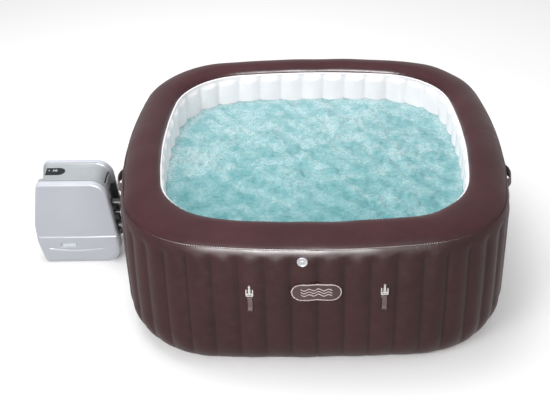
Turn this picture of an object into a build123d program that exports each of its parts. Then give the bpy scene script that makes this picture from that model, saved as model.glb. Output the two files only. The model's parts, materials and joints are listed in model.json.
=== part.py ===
from build123d import *
import os
from math import asin, atan2, cos, degrees, radians, sin, sqrt

# Inflatable hot tub with its pump unit. Millimetres, +Z up.
# The origin is on the floor under the middle of the tub, -Y is the front, and the pump stands at -X.

# ---- driving dimensions of the tub
HALF_WIDTH = 1005.0          # half of the 2.01 m width, at the widest height
TUB_HEIGHT = 800.0
WIDEST_HEIGHT = 666.0
TOP_SIDE_RADIUS = 3410.0     # the sides bow outwards with this radius near the top
BASE_SIDE_RADIUS = 9370.0    # and are almost straight at the floor
TOP_CORNER_RADIUS = 493.0
BASE_CORNER_RADIUS = 516.0
STRAIGHTEN_HEIGHT = 600.0    # above this height the outline keeps its top radii
BASE_ROUND_HEIGHT = 200.0    # height of the rounded foot of the wall
BASE_ROUND_DEPTH = 126.0
FOOT_INSET = 20.0            # inset of the wall at the top of its rounded foot
CREST_INSET = 143.0          # inset of the highest line of the rim
LIP_INSET = 203.0            # inset of the inner edge of the rim
LIP_HEIGHT = 756.0
LIP_CORNER_RADIUS = 407.0
LIP_SIDE_RADIUS = TOP_SIDE_RADIUS - LIP_INSET
SEAM_HEIGHT = 715.0          # weld between the wall and the rim panel
SEAM_HALF = 6.0              # half of the weld band's width
SKIN = 3.0                   # laminated PVC skin
GAP = 0.5                    # clearance between neighbouring pieces
FLOOR_TOP = 16.0
CHANNEL_HEIGHT = 40.0        # air channel round the foot of the inner wall
CHANNEL_WIDTH = 46.0

# ---- flutes and the webs behind them
FLUTE_PITCH = 125.5
SIDE_FLUTES = 4              # flutes on each half of a side at the regular pitch
CORNER_FLUTES = 6
WEB = 2.0
WEB_LOW = 60.0
WEB_HIGH = 690.0

# ---- jets and the pipes between tub and pump
JET_HEIGHT = 330.0
JET_OFFSET = 2.5 * FLUTE_PITCH
HOSE_RADIUS = 14.0
AIR_HOSE_Y = 11.5
HOSE_OUTSIDE_LIP = 48.0      # middle of the jet hose, measured outwards from the inner wall
PORT_Y = 0.5 * FLUTE_PITCH
# name: height, nut radius, spigot radius, tail radius
PORTS = {
    "upper": (JET_HEIGHT, 38.0, 20.0, 28.0),
    "middle": (265.0, 26.0, 13.0, 18.0),
    "lower": (180.0, 52.0, 30.0, 42.0),
}
NUT_BACK = -1085.0
NUT_LENGTH = 40.0
NUT_SHOULDER = 8.0
TAIL_END = NUT_BACK + NUT_SHOULDER + 7.0

# ---- front fittings
# a spot is a side (0 is +X, 1 is +Y, 2 is -X, 3 is -Y), a place along it and a height
VALVE_SPOT = (3, -67.0, 669.0)
DRAIN_SPOT = (1, 2.5 * FLUTE_PITCH, 120.0)
BUCKLE_X = 318.0
BUCKLE_LOW = 465.0
STRAP_LOW = 384.0
BADGE_X = -3.0
BADGE_Z = 490.0
BADGE_LENGTH = 243.0
BADGE_HEIGHT = 100.0
HANDLE_Y = -230.0
HANDLE_Z = 645.0

# ---- pump unit
PUMP_FRONT = -50.0
PUMP_BACK = 232.0
COVER_DEPTH = 41.0
PUMP_TOP = 515.0
PUMP_LOW = 4.0
COVER_WALL = 3.5
DECK_DROP = 22.0             # the deck lies this far inside the covers' outline
DECK_FRONT = PUMP_FRONT + COVER_DEPTH + GAP
DECK_BACK = PUMP_BACK - COVER_DEPTH - GAP
PUMP_CORNERS = [(-1511, PUMP_LOW), (-1092, PUMP_LOW), (-1092, 150), (-1137, PUMP_TOP),
                (-1510, PUMP_TOP), (-1552, 250), (-1548, 140)]
PUMP_RADII = [26, 84, 200, 97, 30, 250, 90]
DECK_TOP = PUMP_TOP - DECK_DROP
WINDOW_X = -1433.0
WINDOW_Y = 126.0
WINDOW_LENGTH = 106.0
WINDOW_WIDTH = 76.0
SPLIT_HEIGHT = 385.0         # below this the side towards the tub is the dark rear cover
SPLIT_X = -1300.0            # anywhere between the two upright sides of the unit
UNDERSIDE = 60.0             # the middle covers stop this far above the floor
GRIP_X = -1158.0             # finger slot across the deck where it turns down
GRIP_WIDTH = 14.0
GRIP_LENGTH = 120.0
POCKET_X = -1374.0
POCKET_Z = 119.0
GLAND_SPOT = (-1180, 60)
SCREW_SPOTS = [(100, -1113.9), (350, -1138.2)]   # height and the rear cover's face there
BUTTON_RADIUS = 4.5
BUTTON_SPACING = 13.0
BUTTONS = ["power", "heat", "bubbles", "jets", "light"]
MOTOR_Y = PORT_Y
BLOWER_Y = 150.0


def save(shape, label):
    """Label one finished piece and write it under the same name"""
    shape.label = label
    export_step(shape, f"parts/{label}.step")


# ---------------------------------------------------------------- outlines of the tub

def draw_bowed_square(half_width, side_radius, corner_radius):
    """Four shallow side arcs joined by four tangent corner arcs"""
    set_back = side_radius - half_width
    reach = (sqrt(2 * (side_radius - corner_radius) ** 2 - set_back ** 2) - set_back) / 2
    half_angle = degrees(atan2(reach, reach + set_back))
    for quarter in range(4):
        turn = 90 * quarter
        side_centre = Vector(-set_back, 0).rotate(Axis.Z, turn)
        corner_centre = Vector(reach, reach).rotate(Axis.Z, turn)
        CenterArc(side_centre, side_radius, turn - half_angle, 2 * half_angle)
        CenterArc(corner_centre, corner_radius, turn + half_angle, 90 - 2 * half_angle)


def bowed_section(height, half_width, side_radius, corner_radius):
    """Level face in the shape of the tub's plan"""
    with BuildSketch(Plane.XY.offset(height)) as section:
        with BuildLine():
            draw_bowed_square(half_width, side_radius, corner_radius)
        make_face()
    return section.sketch


def wall_section(height, inset):
    """Level face inside the outer wall, whose plan gets squarer towards the floor"""
    share = min(1.0, height / STRAIGHTEN_HEIGHT)
    bow = (1 - share) / BASE_SIDE_RADIUS + share / TOP_SIDE_RADIUS
    corner = BASE_CORNER_RADIUS + share * (TOP_CORNER_RADIUS - BASE_CORNER_RADIUS)
    return bowed_section(height, HALF_WIDTH - inset, 1 / bow - inset, corner - inset)


def rim_section(height, inset):
    """Level face inside the rim, whose corners get rounder towards the lip"""
    extra = LIP_CORNER_RADIUS - (TOP_CORNER_RADIUS - LIP_INSET)
    corner = TOP_CORNER_RADIUS - inset + extra * (inset / LIP_INSET) ** 2
    return bowed_section(height, HALF_WIDTH - inset, TOP_SIDE_RADIUS - inset, corner)


def lip_section(height, outwards):
    """Level face in the shape of the inner wall, grown outwards"""
    return bowed_section(height, HALF_WIDTH - LIP_INSET + outwards,
                         LIP_SIDE_RADIUS + outwards, LIP_CORNER_RADIUS + outwards)


def wall_inset(height):
    """How far the outer wall lies inside the widest outline at a height"""
    if height < BASE_ROUND_HEIGHT:
        drop = 1 - height / BASE_ROUND_HEIGHT
        return FOOT_INSET + BASE_ROUND_DEPTH * (1 - sqrt(1 - drop ** 2))
    if height < WIDEST_HEIGHT:
        share = (WIDEST_HEIGHT - height) / (WIDEST_HEIGHT - BASE_ROUND_HEIGHT)
        return FOOT_INSET * share ** 1.5
    rise = (height - WIDEST_HEIGHT) / (TUB_HEIGHT - WIDEST_HEIGHT)
    return CREST_INSET * (1 - sqrt(1 - rise ** 2))


def wall_rows(depth):
    """Heights and insets of the wall's sections, each moved inwards by a depth square to the skin"""
    rows = []
    for angle in (12, 26, 42, 60, 78):
        height = BASE_ROUND_HEIGHT * (1 - cos(radians(angle)))
        rows.append((height, wall_inset(height) + depth / sin(radians(angle))))
    for height in (230, 300, 400, 520, 620, WIDEST_HEIGHT, SEAM_HEIGHT - GAP):
        rows.append((height, wall_inset(height) + depth))
    return rows


def rim_rows(depth):
    """Heights and insets of the rim's sections, from the seam over the crest and down to the lip"""
    start = degrees(asin((SEAM_HEIGHT - WIDEST_HEIGHT) / (TUB_HEIGHT - WIDEST_HEIGHT)))
    rise = TUB_HEIGHT - WIDEST_HEIGHT
    rows = [(SEAM_HEIGHT, wall_inset(SEAM_HEIGHT) + depth)]
    for angle in (start + 16, start + 32, start + 50, 90):
        out = cos(radians(angle))
        up = sin(radians(angle))
        rows.append((WIDEST_HEIGHT + (rise - depth) * up, CREST_INSET - (CREST_INSET - depth) * out))
    fall = TUB_HEIGHT - LIP_HEIGHT
    width = LIP_INSET - CREST_INSET
    for angle in (35, 65, 90):
        inwards = sin(radians(angle))
        up = cos(radians(angle))
        rows.append((LIP_HEIGHT + (fall - depth) * up, CREST_INSET + (width - depth) * inwards))
    return rows


def side_plane(side, along, height, distance, curve_radius):
    """Plane on one side of the tub, facing away from the middle

    side 0 is +X, 1 is +Y, 2 is -X and 3 is -Y; along runs anticlockwise from the side's middle;
    distance is how far the side's middle stands from the origin.
    """
    angle = degrees(along / curve_radius)
    centre = Vector(distance - curve_radius, 0)
    spot = centre + Vector(curve_radius, 0).rotate(Axis.Z, angle)
    spot = spot.rotate(Axis.Z, 90 * side) + Vector(0, 0, height)
    outwards = Vector(1, 0).rotate(Axis.Z, angle + 90 * side)
    return Plane(origin=spot, x_dir=Vector(0, 0, 1).cross(outwards), z_dir=outwards)


LIP_HALF = HALF_WIDTH - LIP_INSET


def inner_plane(side, along, height, outwards=0.0):
    """Plane square to the inner wall, moved away from the pool; its normal points away too"""
    return side_plane(side, along, height, LIP_HALF, LIP_SIDE_RADIUS).offset(outwards)


def outer_plane(side, along, height, proud=0.0):
    """Plane square to the outer wall, standing proud of it; its normal points away from the tub"""
    share = min(1.0, height / STRAIGHTEN_HEIGHT)
    radius = 1 / ((1 - share) / BASE_SIDE_RADIUS + share / TOP_SIDE_RADIUS)
    inset = wall_inset(height)
    upright = side_plane(side, along, height, HALF_WIDTH - inset, radius - inset)
    slope = (wall_inset(height - 1) - wall_inset(height + 1)) / 2
    tilted = Plane(origin=upright.origin, x_dir=upright.x_dir, z_dir=upright.z_dir - Vector(0, 0, slope))
    return tilted.offset(proud)


JETS = [(side, hand * JET_OFFSET) for side in range(4) for hand in (-1, 1)]


# ---------------------------------------------------------------- skins of the tub

def make_bottom_sheet():
    """Ground sheet under the whole tub"""
    with BuildPart() as sheet:
        extrude(wall_section(0, wall_rows(0)[0][1]), amount=SKIN)
    save(sheet.part, "bottom_sheet")


def make_tub_floor():
    """Padded floor of the pool, inside the inner wall"""
    with BuildPart() as floor:
        extrude(lip_section(SKIN + GAP, -GAP), amount=FLOOR_TOP - SKIN - GAP)
    save(floor.part, "tub_floor")


def make_outer_wall():
    """Outer skin from the ground sheet to the seam, with holes for the ports and valves"""
    with BuildPart() as wall:
        loft([wall_section(height, inset) for height, inset in wall_rows(0)])
        loft([wall_section(height, inset) for height, inset in wall_rows(SKIN)], mode=Mode.SUBTRACT)
        for height, nut, spigot, tail in PORTS.values():
            with BuildSketch(Plane.YZ.offset(-1020)):
                with Locations((PORT_Y, height)):
                    Circle(tail + GAP)
            extrude(amount=80, mode=Mode.SUBTRACT)
        for plane, radius in ((outer_plane(*VALVE_SPOT, 15), 19.5), (outer_plane(*DRAIN_SPOT, 15), 16.5)):
            with BuildSketch(plane):
                Circle(radius)
            extrude(amount=-50, mode=Mode.SUBTRACT)
    save(wall.part, "outer_wall")


def make_top_panel():
    """Rolled rim panel, from the outside seam over the crest to the inner lip"""
    with BuildPart() as rim:
        loft([rim_section(height, inset) for height, inset in rim_rows(0)])
        loft([rim_section(height, inset) for height, inset in rim_rows(SKIN)], mode=Mode.SUBTRACT)
    save(rim.part, "top_panel")


def make_inner_wall():
    """White skin round the pool"""
    with BuildPart() as wall:
        height = LIP_HEIGHT - SKIN - 2 * GAP
        extrude(lip_section(SKIN + GAP, SKIN), amount=height)
        extrude(lip_section(SKIN + GAP, 0), amount=height, mode=Mode.SUBTRACT)
        for side, along in JETS:
            with BuildSketch(inner_plane(side, along, JET_HEIGHT, 20)):
                Circle(22.5)
            extrude(amount=-40, mode=Mode.SUBTRACT)
        with BuildSketch(inner_plane(2, -PORT_Y, PORTS["lower"][0], 20)):
            Circle(37)
        extrude(amount=-40, mode=Mode.SUBTRACT)
        with BuildSketch(inner_plane(2, -AIR_HOSE_Y, 40, 20)):
            Circle(10.5)
        extrude(amount=-40, mode=Mode.SUBTRACT)
    save(wall.part, "inner_wall")


def make_top_seam():
    """Flat welded band that covers the joint between the wall and the rim"""
    with BuildPart() as band:
        heights = (SEAM_HEIGHT - SEAM_HALF, SEAM_HEIGHT, SEAM_HEIGHT + SEAM_HALF)
        loft([rim_section(height, wall_inset(height) - 3) for height in heights])
        loft([rim_section(height, wall_inset(height) - 1) for height in heights], mode=Mode.SUBTRACT)
    save(band.part, "top_seam")


def web_spots():
    """Places along one quarter of the outline: regular on the side, closer round the corner"""
    side_spots = [FLUTE_PITCH * step for step in range(-SIDE_FLUTES, SIDE_FLUTES + 1)]
    set_back = TOP_SIDE_RADIUS - HALF_WIDTH
    reach = (sqrt(2 * (TOP_SIDE_RADIUS - TOP_CORNER_RADIUS) ** 2 - set_back ** 2) - set_back) / 2
    half_angle = degrees(atan2(reach, reach + set_back))
    centre = Vector(reach, reach)
    planes = []
    for along in side_spots:
        planes.append(side_plane(0, along, 0, HALF_WIDTH, TOP_SIDE_RADIUS))
    for step in range(1, CORNER_FLUTES):
        angle = half_angle + (90 - 2 * half_angle) * step / CORNER_FLUTES
        outwards = Vector(1, 0).rotate(Axis.Z, angle)
        planes.append(Plane(origin=centre + outwards * TOP_CORNER_RADIUS,
                            x_dir=Vector(0, 0, 1).cross(outwards), z_dir=outwards))
    return planes


def make_wall_beams():
    """Upright webs that tie the inner and outer skins together, one at each seam between flutes"""
    with BuildPart() as webs:
        for plane in web_spots():
            for quarter in range(4):
                spot = plane.origin.rotate(Axis.Z, 90 * quarter)
                outwards = plane.z_dir.rotate(Axis.Z, 90 * quarter)
                with BuildSketch(Plane(origin=spot + Vector(0, 0, WEB_LOW), x_dir=outwards,
                                       z_dir=(0, 0, 1))):
                    with Locations((-150, 0)):
                        Rectangle(330, WEB)
                extrude(amount=WEB_HIGH - WEB_LOW)
        rows = wall_rows(SKIN + 1)
        loft([wall_section(height, inset) for height, inset in rows], mode=Mode.INTERSECT)
        extrude(lip_section(0, SKIN + 1), amount=TUB_HEIGHT, mode=Mode.SUBTRACT)
        notch = lip_section(JET_HEIGHT - 1.5 * HOSE_RADIUS, HOSE_OUTSIDE_LIP + 1.5 * HOSE_RADIUS)
        extrude(notch, amount=3 * HOSE_RADIUS, mode=Mode.SUBTRACT)
    save(webs.part, "wall_beams")


# ---------------------------------------------------------------- water and air inside the tub

def make_bubble_channel():
    """Welded air channel round the foot of the inner wall"""
    with BuildPart() as channel:
        extrude(lip_section(FLOOR_TOP + GAP, -GAP), amount=CHANNEL_HEIGHT)
        opening = lip_section(FLOOR_TOP + GAP, -CHANNEL_WIDTH)
        extrude(opening, amount=CHANNEL_HEIGHT, mode=Mode.SUBTRACT)
    save(channel.part, "bubble_channel")


def make_jet_hose():
    """Pressure hose that runs round inside the wall behind the jets"""
    with BuildPart() as hose:
        low = JET_HEIGHT - HOSE_RADIUS
        extrude(lip_section(low, HOSE_OUTSIDE_LIP + HOSE_RADIUS), amount=2 * HOSE_RADIUS)
        inside = lip_section(low, HOSE_OUTSIDE_LIP - HOSE_RADIUS)
        extrude(inside, amount=2 * HOSE_RADIUS, mode=Mode.SUBTRACT)
        fillet(hose.edges(), radius=HOSE_RADIUS * 0.9)
    save(hose.part, "jet_hose")


def make_jet_housings():
    """Eight flanged sockets through the inner wall, each with its tail on the jet hose"""
    with BuildPart() as housings:
        for side, along in JETS:
            with BuildSketch(inner_plane(side, along, JET_HEIGHT, -GAP)):
                Circle(36)
            extrude(amount=-5)
            with BuildSketch(inner_plane(side, along, JET_HEIGHT, -GAP)):
                Circle(22)
            extrude(amount=HOSE_OUTSIDE_LIP - HOSE_RADIUS - GAP)
            with BuildSketch(inner_plane(side, along, JET_HEIGHT, -5.5)):
                Circle(19)
            extrude(amount=HOSE_OUTSIDE_LIP - HOSE_RADIUS - 8, mode=Mode.SUBTRACT)
    save(housings.part, "jet_housings")


def make_jet_nozzles():
    """Eight turning nozzles, each with a rim, a slanted throat and two finger lugs"""
    for number, (side, along) in enumerate(JETS, start=1):
        with BuildPart() as nozzle:
            with BuildSketch(inner_plane(side, along, JET_HEIGHT, -6)):
                Circle(28)
            extrude(amount=-5)
            with BuildSketch(inner_plane(side, along, JET_HEIGHT, -6)):
                Circle(18.5)
            extrude(amount=22)
            with BuildSketch(inner_plane(side, along, JET_HEIGHT, -12)):
                Circle(8)
            extrude(amount=40, mode=Mode.SUBTRACT)
            with BuildSketch(inner_plane(side, along, JET_HEIGHT, -11)):
                with PolarLocations(22, 2):
                    Circle(4)
            extrude(amount=-4)
        save(nozzle.part, f"jet_nozzle_{number}")


def make_wall_fittings():
    """Three moulded tails through the left wall: jet supply, air and filter intake"""
    ends = {"upper": -(LIP_HALF + HOSE_OUTSIDE_LIP + HOSE_RADIUS + 1), "middle": -905.0,
            "lower": -(LIP_HALF + SKIN + 3)}
    with BuildPart() as fittings:
        for name, (height, nut, spigot, tail) in PORTS.items():
            wall_x = -(HALF_WIDTH - wall_inset(height))
            with BuildSketch(Plane.YZ.offset(TAIL_END)):
                with Locations((PORT_Y, height)):
                    Circle(tail)
            extrude(amount=ends[name] - TAIL_END)
            with BuildSketch(Plane.YZ.offset(wall_x - 12)):
                with Locations((PORT_Y, height)):
                    Circle(tail + 7)
            extrude(amount=9.5)
            with BuildSketch(Plane.YZ.offset(TAIL_END)):
                with Locations((PORT_Y, height)):
                    Circle(tail - 4)
            extrude(amount=ends[name] - TAIL_END, mode=Mode.SUBTRACT)
    save(fittings.part, "wall_fittings")


def make_air_hose():
    """Hose inside the wall from the air tail down to the bubble channel"""
    height = PORTS["middle"][0]
    with BuildPart() as hose:
        with BuildLine():
            route = FilletPolyline((-906, PORT_Y, height), (-880, PORT_Y, height),
                                   (-862, AIR_HOSE_Y, height - 20), (-862, AIR_HOSE_Y, 40),
                                   (-806, AIR_HOSE_Y, 40), radius=[14, 20, 20])
        with BuildSketch(Plane(origin=route @ 0, z_dir=route % 0)):
            Circle(9)
        sweep()
    save(hose.part, "air_hose")


def make_filter():
    """Filter base on the inner wall, and the turning housing that holds the pleated cartridge"""
    height = PORTS["lower"][0]
    with BuildPart() as base:
        with BuildSketch(Plane.YZ.offset(-(LIP_HALF - 3))):
            with Locations((PORT_Y, height)):
                Circle(60)
        extrude(amount=10)
        with BuildSketch(Plane.YZ.offset(-(LIP_HALF - 3))):
            with Locations((PORT_Y, height)):
                Circle(35)
        extrude(amount=-30)
        with BuildSketch(Plane.YZ.offset(-830)):
            with Locations((PORT_Y, height)):
                Circle(27)
        extrude(amount=60, mode=Mode.SUBTRACT)
    save(base.part, "filter_base")
    start = -(LIP_HALF - 3) + 11
    with BuildPart() as housing:
        with BuildSketch(Plane.YZ.offset(start)):
            with Locations((PORT_Y, height)):
                Circle(62)
        extrude(amount=92)
        fillet(housing.edges().group_by(Axis.X)[-1], radius=8)
        with BuildSketch(Plane.YZ.offset(start)):
            with Locations((PORT_Y, height)):
                Circle(58)
        extrude(amount=86, mode=Mode.SUBTRACT)
        with BuildSketch(Plane.YZ.offset(start + 70)):
            with Locations((PORT_Y, height)):
                with PolarLocations(36, 10):
                    SlotOverall(26, 6)
        extrude(amount=30, mode=Mode.SUBTRACT)
    save(housing.part, "filter_housing")
    with BuildPart() as cartridge:
        with BuildSketch(Plane.YZ.offset(start + 3)):
            with Locations((PORT_Y, height)):
                Circle(52)
        extrude(amount=78)
        with BuildSketch(Plane.YZ.offset(start + 3)):
            with Locations((PORT_Y, height)):
                Circle(22)
        extrude(amount=78, mode=Mode.SUBTRACT)
    save(cartridge.part, "filter_cartridge")


# ---------------------------------------------------------------- outside fittings of the tub

def make_inflation_valve():
    """Screw valve in the front wall and its turning cap"""
    with BuildPart() as valve:
        with BuildSketch(outer_plane(*VALVE_SPOT, 0.8)):
            Circle(23)
        extrude(amount=2.2)
        with BuildSketch(outer_plane(*VALVE_SPOT, 0.8)):
            Circle(18.5)
        extrude(amount=-26)
        with BuildSketch(outer_plane(*VALVE_SPOT, 3)):
            Circle(13)
        extrude(amount=-30, mode=Mode.SUBTRACT)
    save(valve.part, "inflation_valve")
    with BuildPart() as cap:
        with BuildSketch(outer_plane(*VALVE_SPOT, 3.4)):
            Circle(25)
        extrude(amount=7)
        fillet(cap.edges().filter_by(GeomType.CIRCLE).sort_by(Axis.Y)[0], radius=2)
        with BuildSketch(outer_plane(*VALVE_SPOT, 3.4)):
            Circle(12)
        extrude(amount=-14)
    save(cap.part, "inflation_cap")


def make_drain_valve():
    """Drain spout low on the back wall and its turning cap"""
    with BuildPart() as valve:
        with BuildSketch(outer_plane(*DRAIN_SPOT, 2.5)):
            Circle(24)
        extrude(amount=2.2)
        with BuildSketch(outer_plane(*DRAIN_SPOT, 2.5)):
            Circle(15.5)
        extrude(amount=-40)
        with BuildSketch(outer_plane(*DRAIN_SPOT, 5)):
            Circle(11)
        extrude(amount=-50, mode=Mode.SUBTRACT)
    save(valve.part, "drain_valve")
    with BuildPart() as cap:
        with BuildSketch(outer_plane(*DRAIN_SPOT, 5.2)):
            Circle(22)
        extrude(amount=9)
        fillet(cap.edges().filter_by(GeomType.CIRCLE).sort_by(Axis.Y)[-1], radius=2)
        with BuildSketch(outer_plane(*DRAIN_SPOT, 5.2)):
            Circle(10)
        extrude(amount=-14)
    save(cap.part, "drain_cap")


def make_badge():
    """Plain oval name plate, left blank, on the front wall"""
    with BuildPart() as badge:
        with BuildSketch(outer_plane(3, BADGE_X, BADGE_Z, 3.2)):
            SlotOverall(BADGE_LENGTH, BADGE_HEIGHT)
        extrude(amount=1.5)
    save(badge.part, "badge")


def make_carry_handles():
    """One bowed grip strap on each side wall, lying along the wall with a gap for the fingers"""
    thickness = 4.0
    height = 42.0
    half = 90.0
    with BuildPart() as handles:
        for hand in (-1, 1):
            wall_x = HALF_WIDTH - HANDLE_Y ** 2 / (2 * TOP_SIDE_RADIUS) + 2.5
            with BuildSketch(Plane.XY.offset(HANDLE_Z - height / 2)):
                with BuildLine():
                    outer = ThreePointArc((hand * (wall_x + thickness + 2), HANDLE_Y + half - 20),
                                          (hand * (wall_x + 30), HANDLE_Y),
                                          (hand * (wall_x + thickness - 2), HANDLE_Y - half + 20))
                    Polyline(outer @ 1, (hand * (wall_x - 4 + thickness), HANDLE_Y - half),
                             (hand * (wall_x - 4), HANDLE_Y - half),
                             (hand * (wall_x - 2), HANDLE_Y - half + 24))
                    inner = ThreePointArc((hand * (wall_x - 2), HANDLE_Y - half + 24),
                                          (hand * (wall_x + 30 - thickness), HANDLE_Y),
                                          (hand * (wall_x + 2), HANDLE_Y + half - 24))
                    Polyline(inner @ 1, (hand * (wall_x + 4), HANDLE_Y + half),
                             (hand * (wall_x + 4 + thickness), HANDLE_Y + half), outer @ 0)
                make_face()
            extrude(amount=height)
    save(handles.part, "carry_handles")


BUCKLES = {"front_left": (3, -BUCKLE_X), "front_right": (3, BUCKLE_X),
           "back_left": (1, BUCKLE_X), "back_right": (1, -BUCKLE_X)}


def make_buckles():
    """Four lid buckles: a frame with two side arms, a guide tongue, a slot and a strap bar"""
    for name, (side, along) in BUCKLES.items():
        with BuildPart() as buckle:
            with BuildSketch(outer_plane(side, along, BUCKLE_LOW, 5)):
                with Locations((0, 20)):
                    RectangleRounded(36, 40, 6)
                with Locations((0, 7.5)):
                    RectangleRounded(24, 6, 2.5, mode=Mode.SUBTRACT)
                for hand in (-1, 1):
                    with Locations((hand * 9, 29)):
                        RectangleRounded(7, 23, 3, mode=Mode.SUBTRACT)
                with Locations((0, 46)):
                    RectangleRounded(9, 32, 4)
                for hand in (-1, 1):
                    with Locations((hand * 9, 40)):
                        Rectangle(7, 8, mode=Mode.SUBTRACT)
            extrude(amount=6)
        save(buckle.part, f"{name}_buckle")


def make_buckle_straps():
    """Four webbing tails, looped round the buckles' bars and welded down on a patch"""
    length = BUCKLE_LOW - STRAP_LOW
    with BuildPart() as straps:
        for side, along in BUCKLES.values():
            with BuildSketch(outer_plane(side, along, BUCKLE_LOW, 2.6)):
                with Locations((0, -length / 2 - 2)):
                    Rectangle(22, length - 4)
            extrude(amount=2.4)
            with BuildSketch(outer_plane(side, along, BUCKLE_LOW, 2.6)):
                with Locations((0, -length / 2 - 14)):
                    RectangleRounded(36, length - 20, 4)
            extrude(amount=1.2)
    save(straps.part, "buckle_straps")


# ---------------------------------------------------------------- casing of the pump unit

def draw_pump_outline():
    """Side view of the pump unit: rounded box that leans in towards its top right"""
    FilletPolyline(*PUMP_CORNERS, radius=PUMP_RADII, close=True)


def pump_side(y, shrink=0.0):
    """Upright face of the pump's outline at a distance from the front, shrunk all round"""
    with BuildSketch(Plane.XZ.offset(-y)) as face:
        with BuildLine():
            draw_pump_outline()
        make_face()
        if shrink:
            offset(amount=-shrink, mode=Mode.REPLACE)
    return face.sketch


def make_near_cover():
    """Front side cover: a deep rounded shell, with a pocket for the blank plate"""
    with BuildPart() as cover:
        extrude(pump_side(PUMP_FRONT), amount=-COVER_DEPTH)
        fillet(cover.faces().sort_by(Axis.Y)[0].outer_wire().edges(), radius=9)
        hollow = pump_side(PUMP_FRONT + COVER_DEPTH, COVER_WALL)
        extrude(hollow, amount=COVER_DEPTH - COVER_WALL, mode=Mode.SUBTRACT)
        with BuildSketch(Plane.XZ.offset(-PUMP_FRONT)):
            with Locations((POCKET_X, POCKET_Z)):
                RectangleRounded(80, 22, 4)
        extrude(amount=-2.2, mode=Mode.SUBTRACT)
    save(cover.part, "near_cover")
    with BuildPart() as plate:
        with BuildSketch(Plane.XZ.offset(-PUMP_FRONT - 2)):
            with Locations((POCKET_X + 2, POCKET_Z)):
                RectangleRounded(72, 19, 3)
        extrude(amount=1.4)
    save(plate.part, "blank_plate")


def make_far_cover():
    """Back side cover, the near cover's opposite hand"""
    with BuildPart() as cover:
        extrude(pump_side(PUMP_BACK), amount=COVER_DEPTH)
        fillet(cover.faces().sort_by(Axis.Y)[-1].outer_wire().edges(), radius=9)
        hollow = pump_side(PUMP_BACK - COVER_DEPTH, COVER_WALL)
        extrude(hollow, amount=COVER_WALL - COVER_DEPTH, mode=Mode.SUBTRACT)
        with BuildSketch(Plane.XZ.offset(-PUMP_BACK + 10)):
            with Locations(GLAND_SPOT):
                Circle(9.3)
        extrude(amount=-20, mode=Mode.SUBTRACT)
    save(cover.part, "far_cover")


def draw_window(grow=0.0):
    """D-shaped panel outline: square at the left, a half circle at the right"""
    with Locations((WINDOW_X - WINDOW_WIDTH / 4, WINDOW_Y)):
        Rectangle(WINDOW_LENGTH - WINDOW_WIDTH / 2 + 2 * grow, WINDOW_WIDTH + 2 * grow)
    with Locations((WINDOW_X + WINDOW_LENGTH / 2 - WINDOW_WIDTH / 2, WINDOW_Y)):
        Circle(WINDOW_WIDTH / 2 + grow)


def extrude_middle_shell():
    """Hollow ring between the two side covers, open underneath"""
    depth = DECK_FRONT - DECK_BACK
    extrude(pump_side(DECK_FRONT, DECK_DROP), amount=depth)
    extrude(pump_side(DECK_FRONT, DECK_DROP + COVER_WALL), amount=depth, mode=Mode.SUBTRACT)
    cut_middle_shell((4000, 2 * UNDERSIDE), (Align.CENTER, Align.CENTER))


def cut_middle_shell(size, align, spot=(0, 0)):
    """Cut a box of this width and height right through the ring"""
    with BuildSketch(Plane.XZ.offset(-DECK_FRONT + 1)) as cut:
        with Locations(spot):
            Rectangle(*size, align=align)
    extrude(cut.sketch, amount=-400, mode=Mode.SUBTRACT)


def make_deck():
    """Grey middle cover over the left side and the top, with the panel opening and the grip slot"""
    with BuildPart() as deck:
        extrude_middle_shell()
        cut_middle_shell((400, 400), (Align.MIN, Align.MAX), (SPLIT_X, SPLIT_HEIGHT))
        with BuildSketch(Plane.XY.offset(DECK_TOP - 20)):
            draw_window(0.4)
        extrude(amount=40, mode=Mode.SUBTRACT)
        with BuildSketch(Plane.XY.offset(DECK_TOP - 80)):
            with Locations((GRIP_X, (DECK_FRONT + DECK_BACK) / 2 + 26)):
                RectangleRounded(GRIP_WIDTH, GRIP_LENGTH, 6)
        extrude(amount=100, mode=Mode.SUBTRACT)
    save(deck.part, "pump_deck")


def make_rear_cover():
    """Dark cover that faces the tub, with a hole for each pipe"""
    with BuildPart() as cover:
        extrude_middle_shell()
        cut_middle_shell((900, 1200), (Align.MAX, Align.CENTER), (SPLIT_X, 0))
        cut_middle_shell((400, 400), (Align.MIN, Align.MIN), (SPLIT_X - 1, SPLIT_HEIGHT - GAP))
        for height, _, spigot, _ in PORTS.values():
            with BuildSketch(Plane.YZ.offset(-1200)):
                with Locations((PORT_Y, height)):
                    Circle(spigot + GAP)
            extrude(amount=150, mode=Mode.SUBTRACT)
    save(cover.part, "rear_cover")


def make_pump_base():
    """Tray that carries the machinery, its four rubber feet and the screws of the covers"""
    with BuildPart() as base:
        with BuildSketch(Plane.XY.offset(12)):
            with Locations((-1322, (DECK_FRONT + DECK_BACK) / 2)):
                Rectangle(276, 230)
        extrude(amount=5)
        for y in (70, 170):
            with BuildSketch(Plane.XY.offset(17)):
                with Locations((-1322, y)):
                    Rectangle(260, 6)
            extrude(amount=30)
        with BuildSketch(Plane.XY.offset(17)):
            with Locations((-1410, PORT_Y)):
                Rectangle(20, 60)
        extrude(amount=120)
        with BuildSketch(Plane.XY.offset(17)):
            with Locations((-1290, BLOWER_Y)):
                Rectangle(16, 40)
        extrude(amount=200)
        with BuildSketch(Plane.XY.offset(17)):
            with Locations((-1240, PORT_Y + 12)):
                Rectangle(14, 24)
        extrude(amount=120)
    save(base.part, "pump_base")
    with BuildPart() as feet:
        with BuildSketch(Plane.XY):
            with Locations((-1322, (DECK_FRONT + DECK_BACK) / 2)):
                with GridLocations(230, 120, 2, 2):
                    Circle(15)
        extrude(amount=11.5)
    save(feet.part, "rubber_feet")


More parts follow.
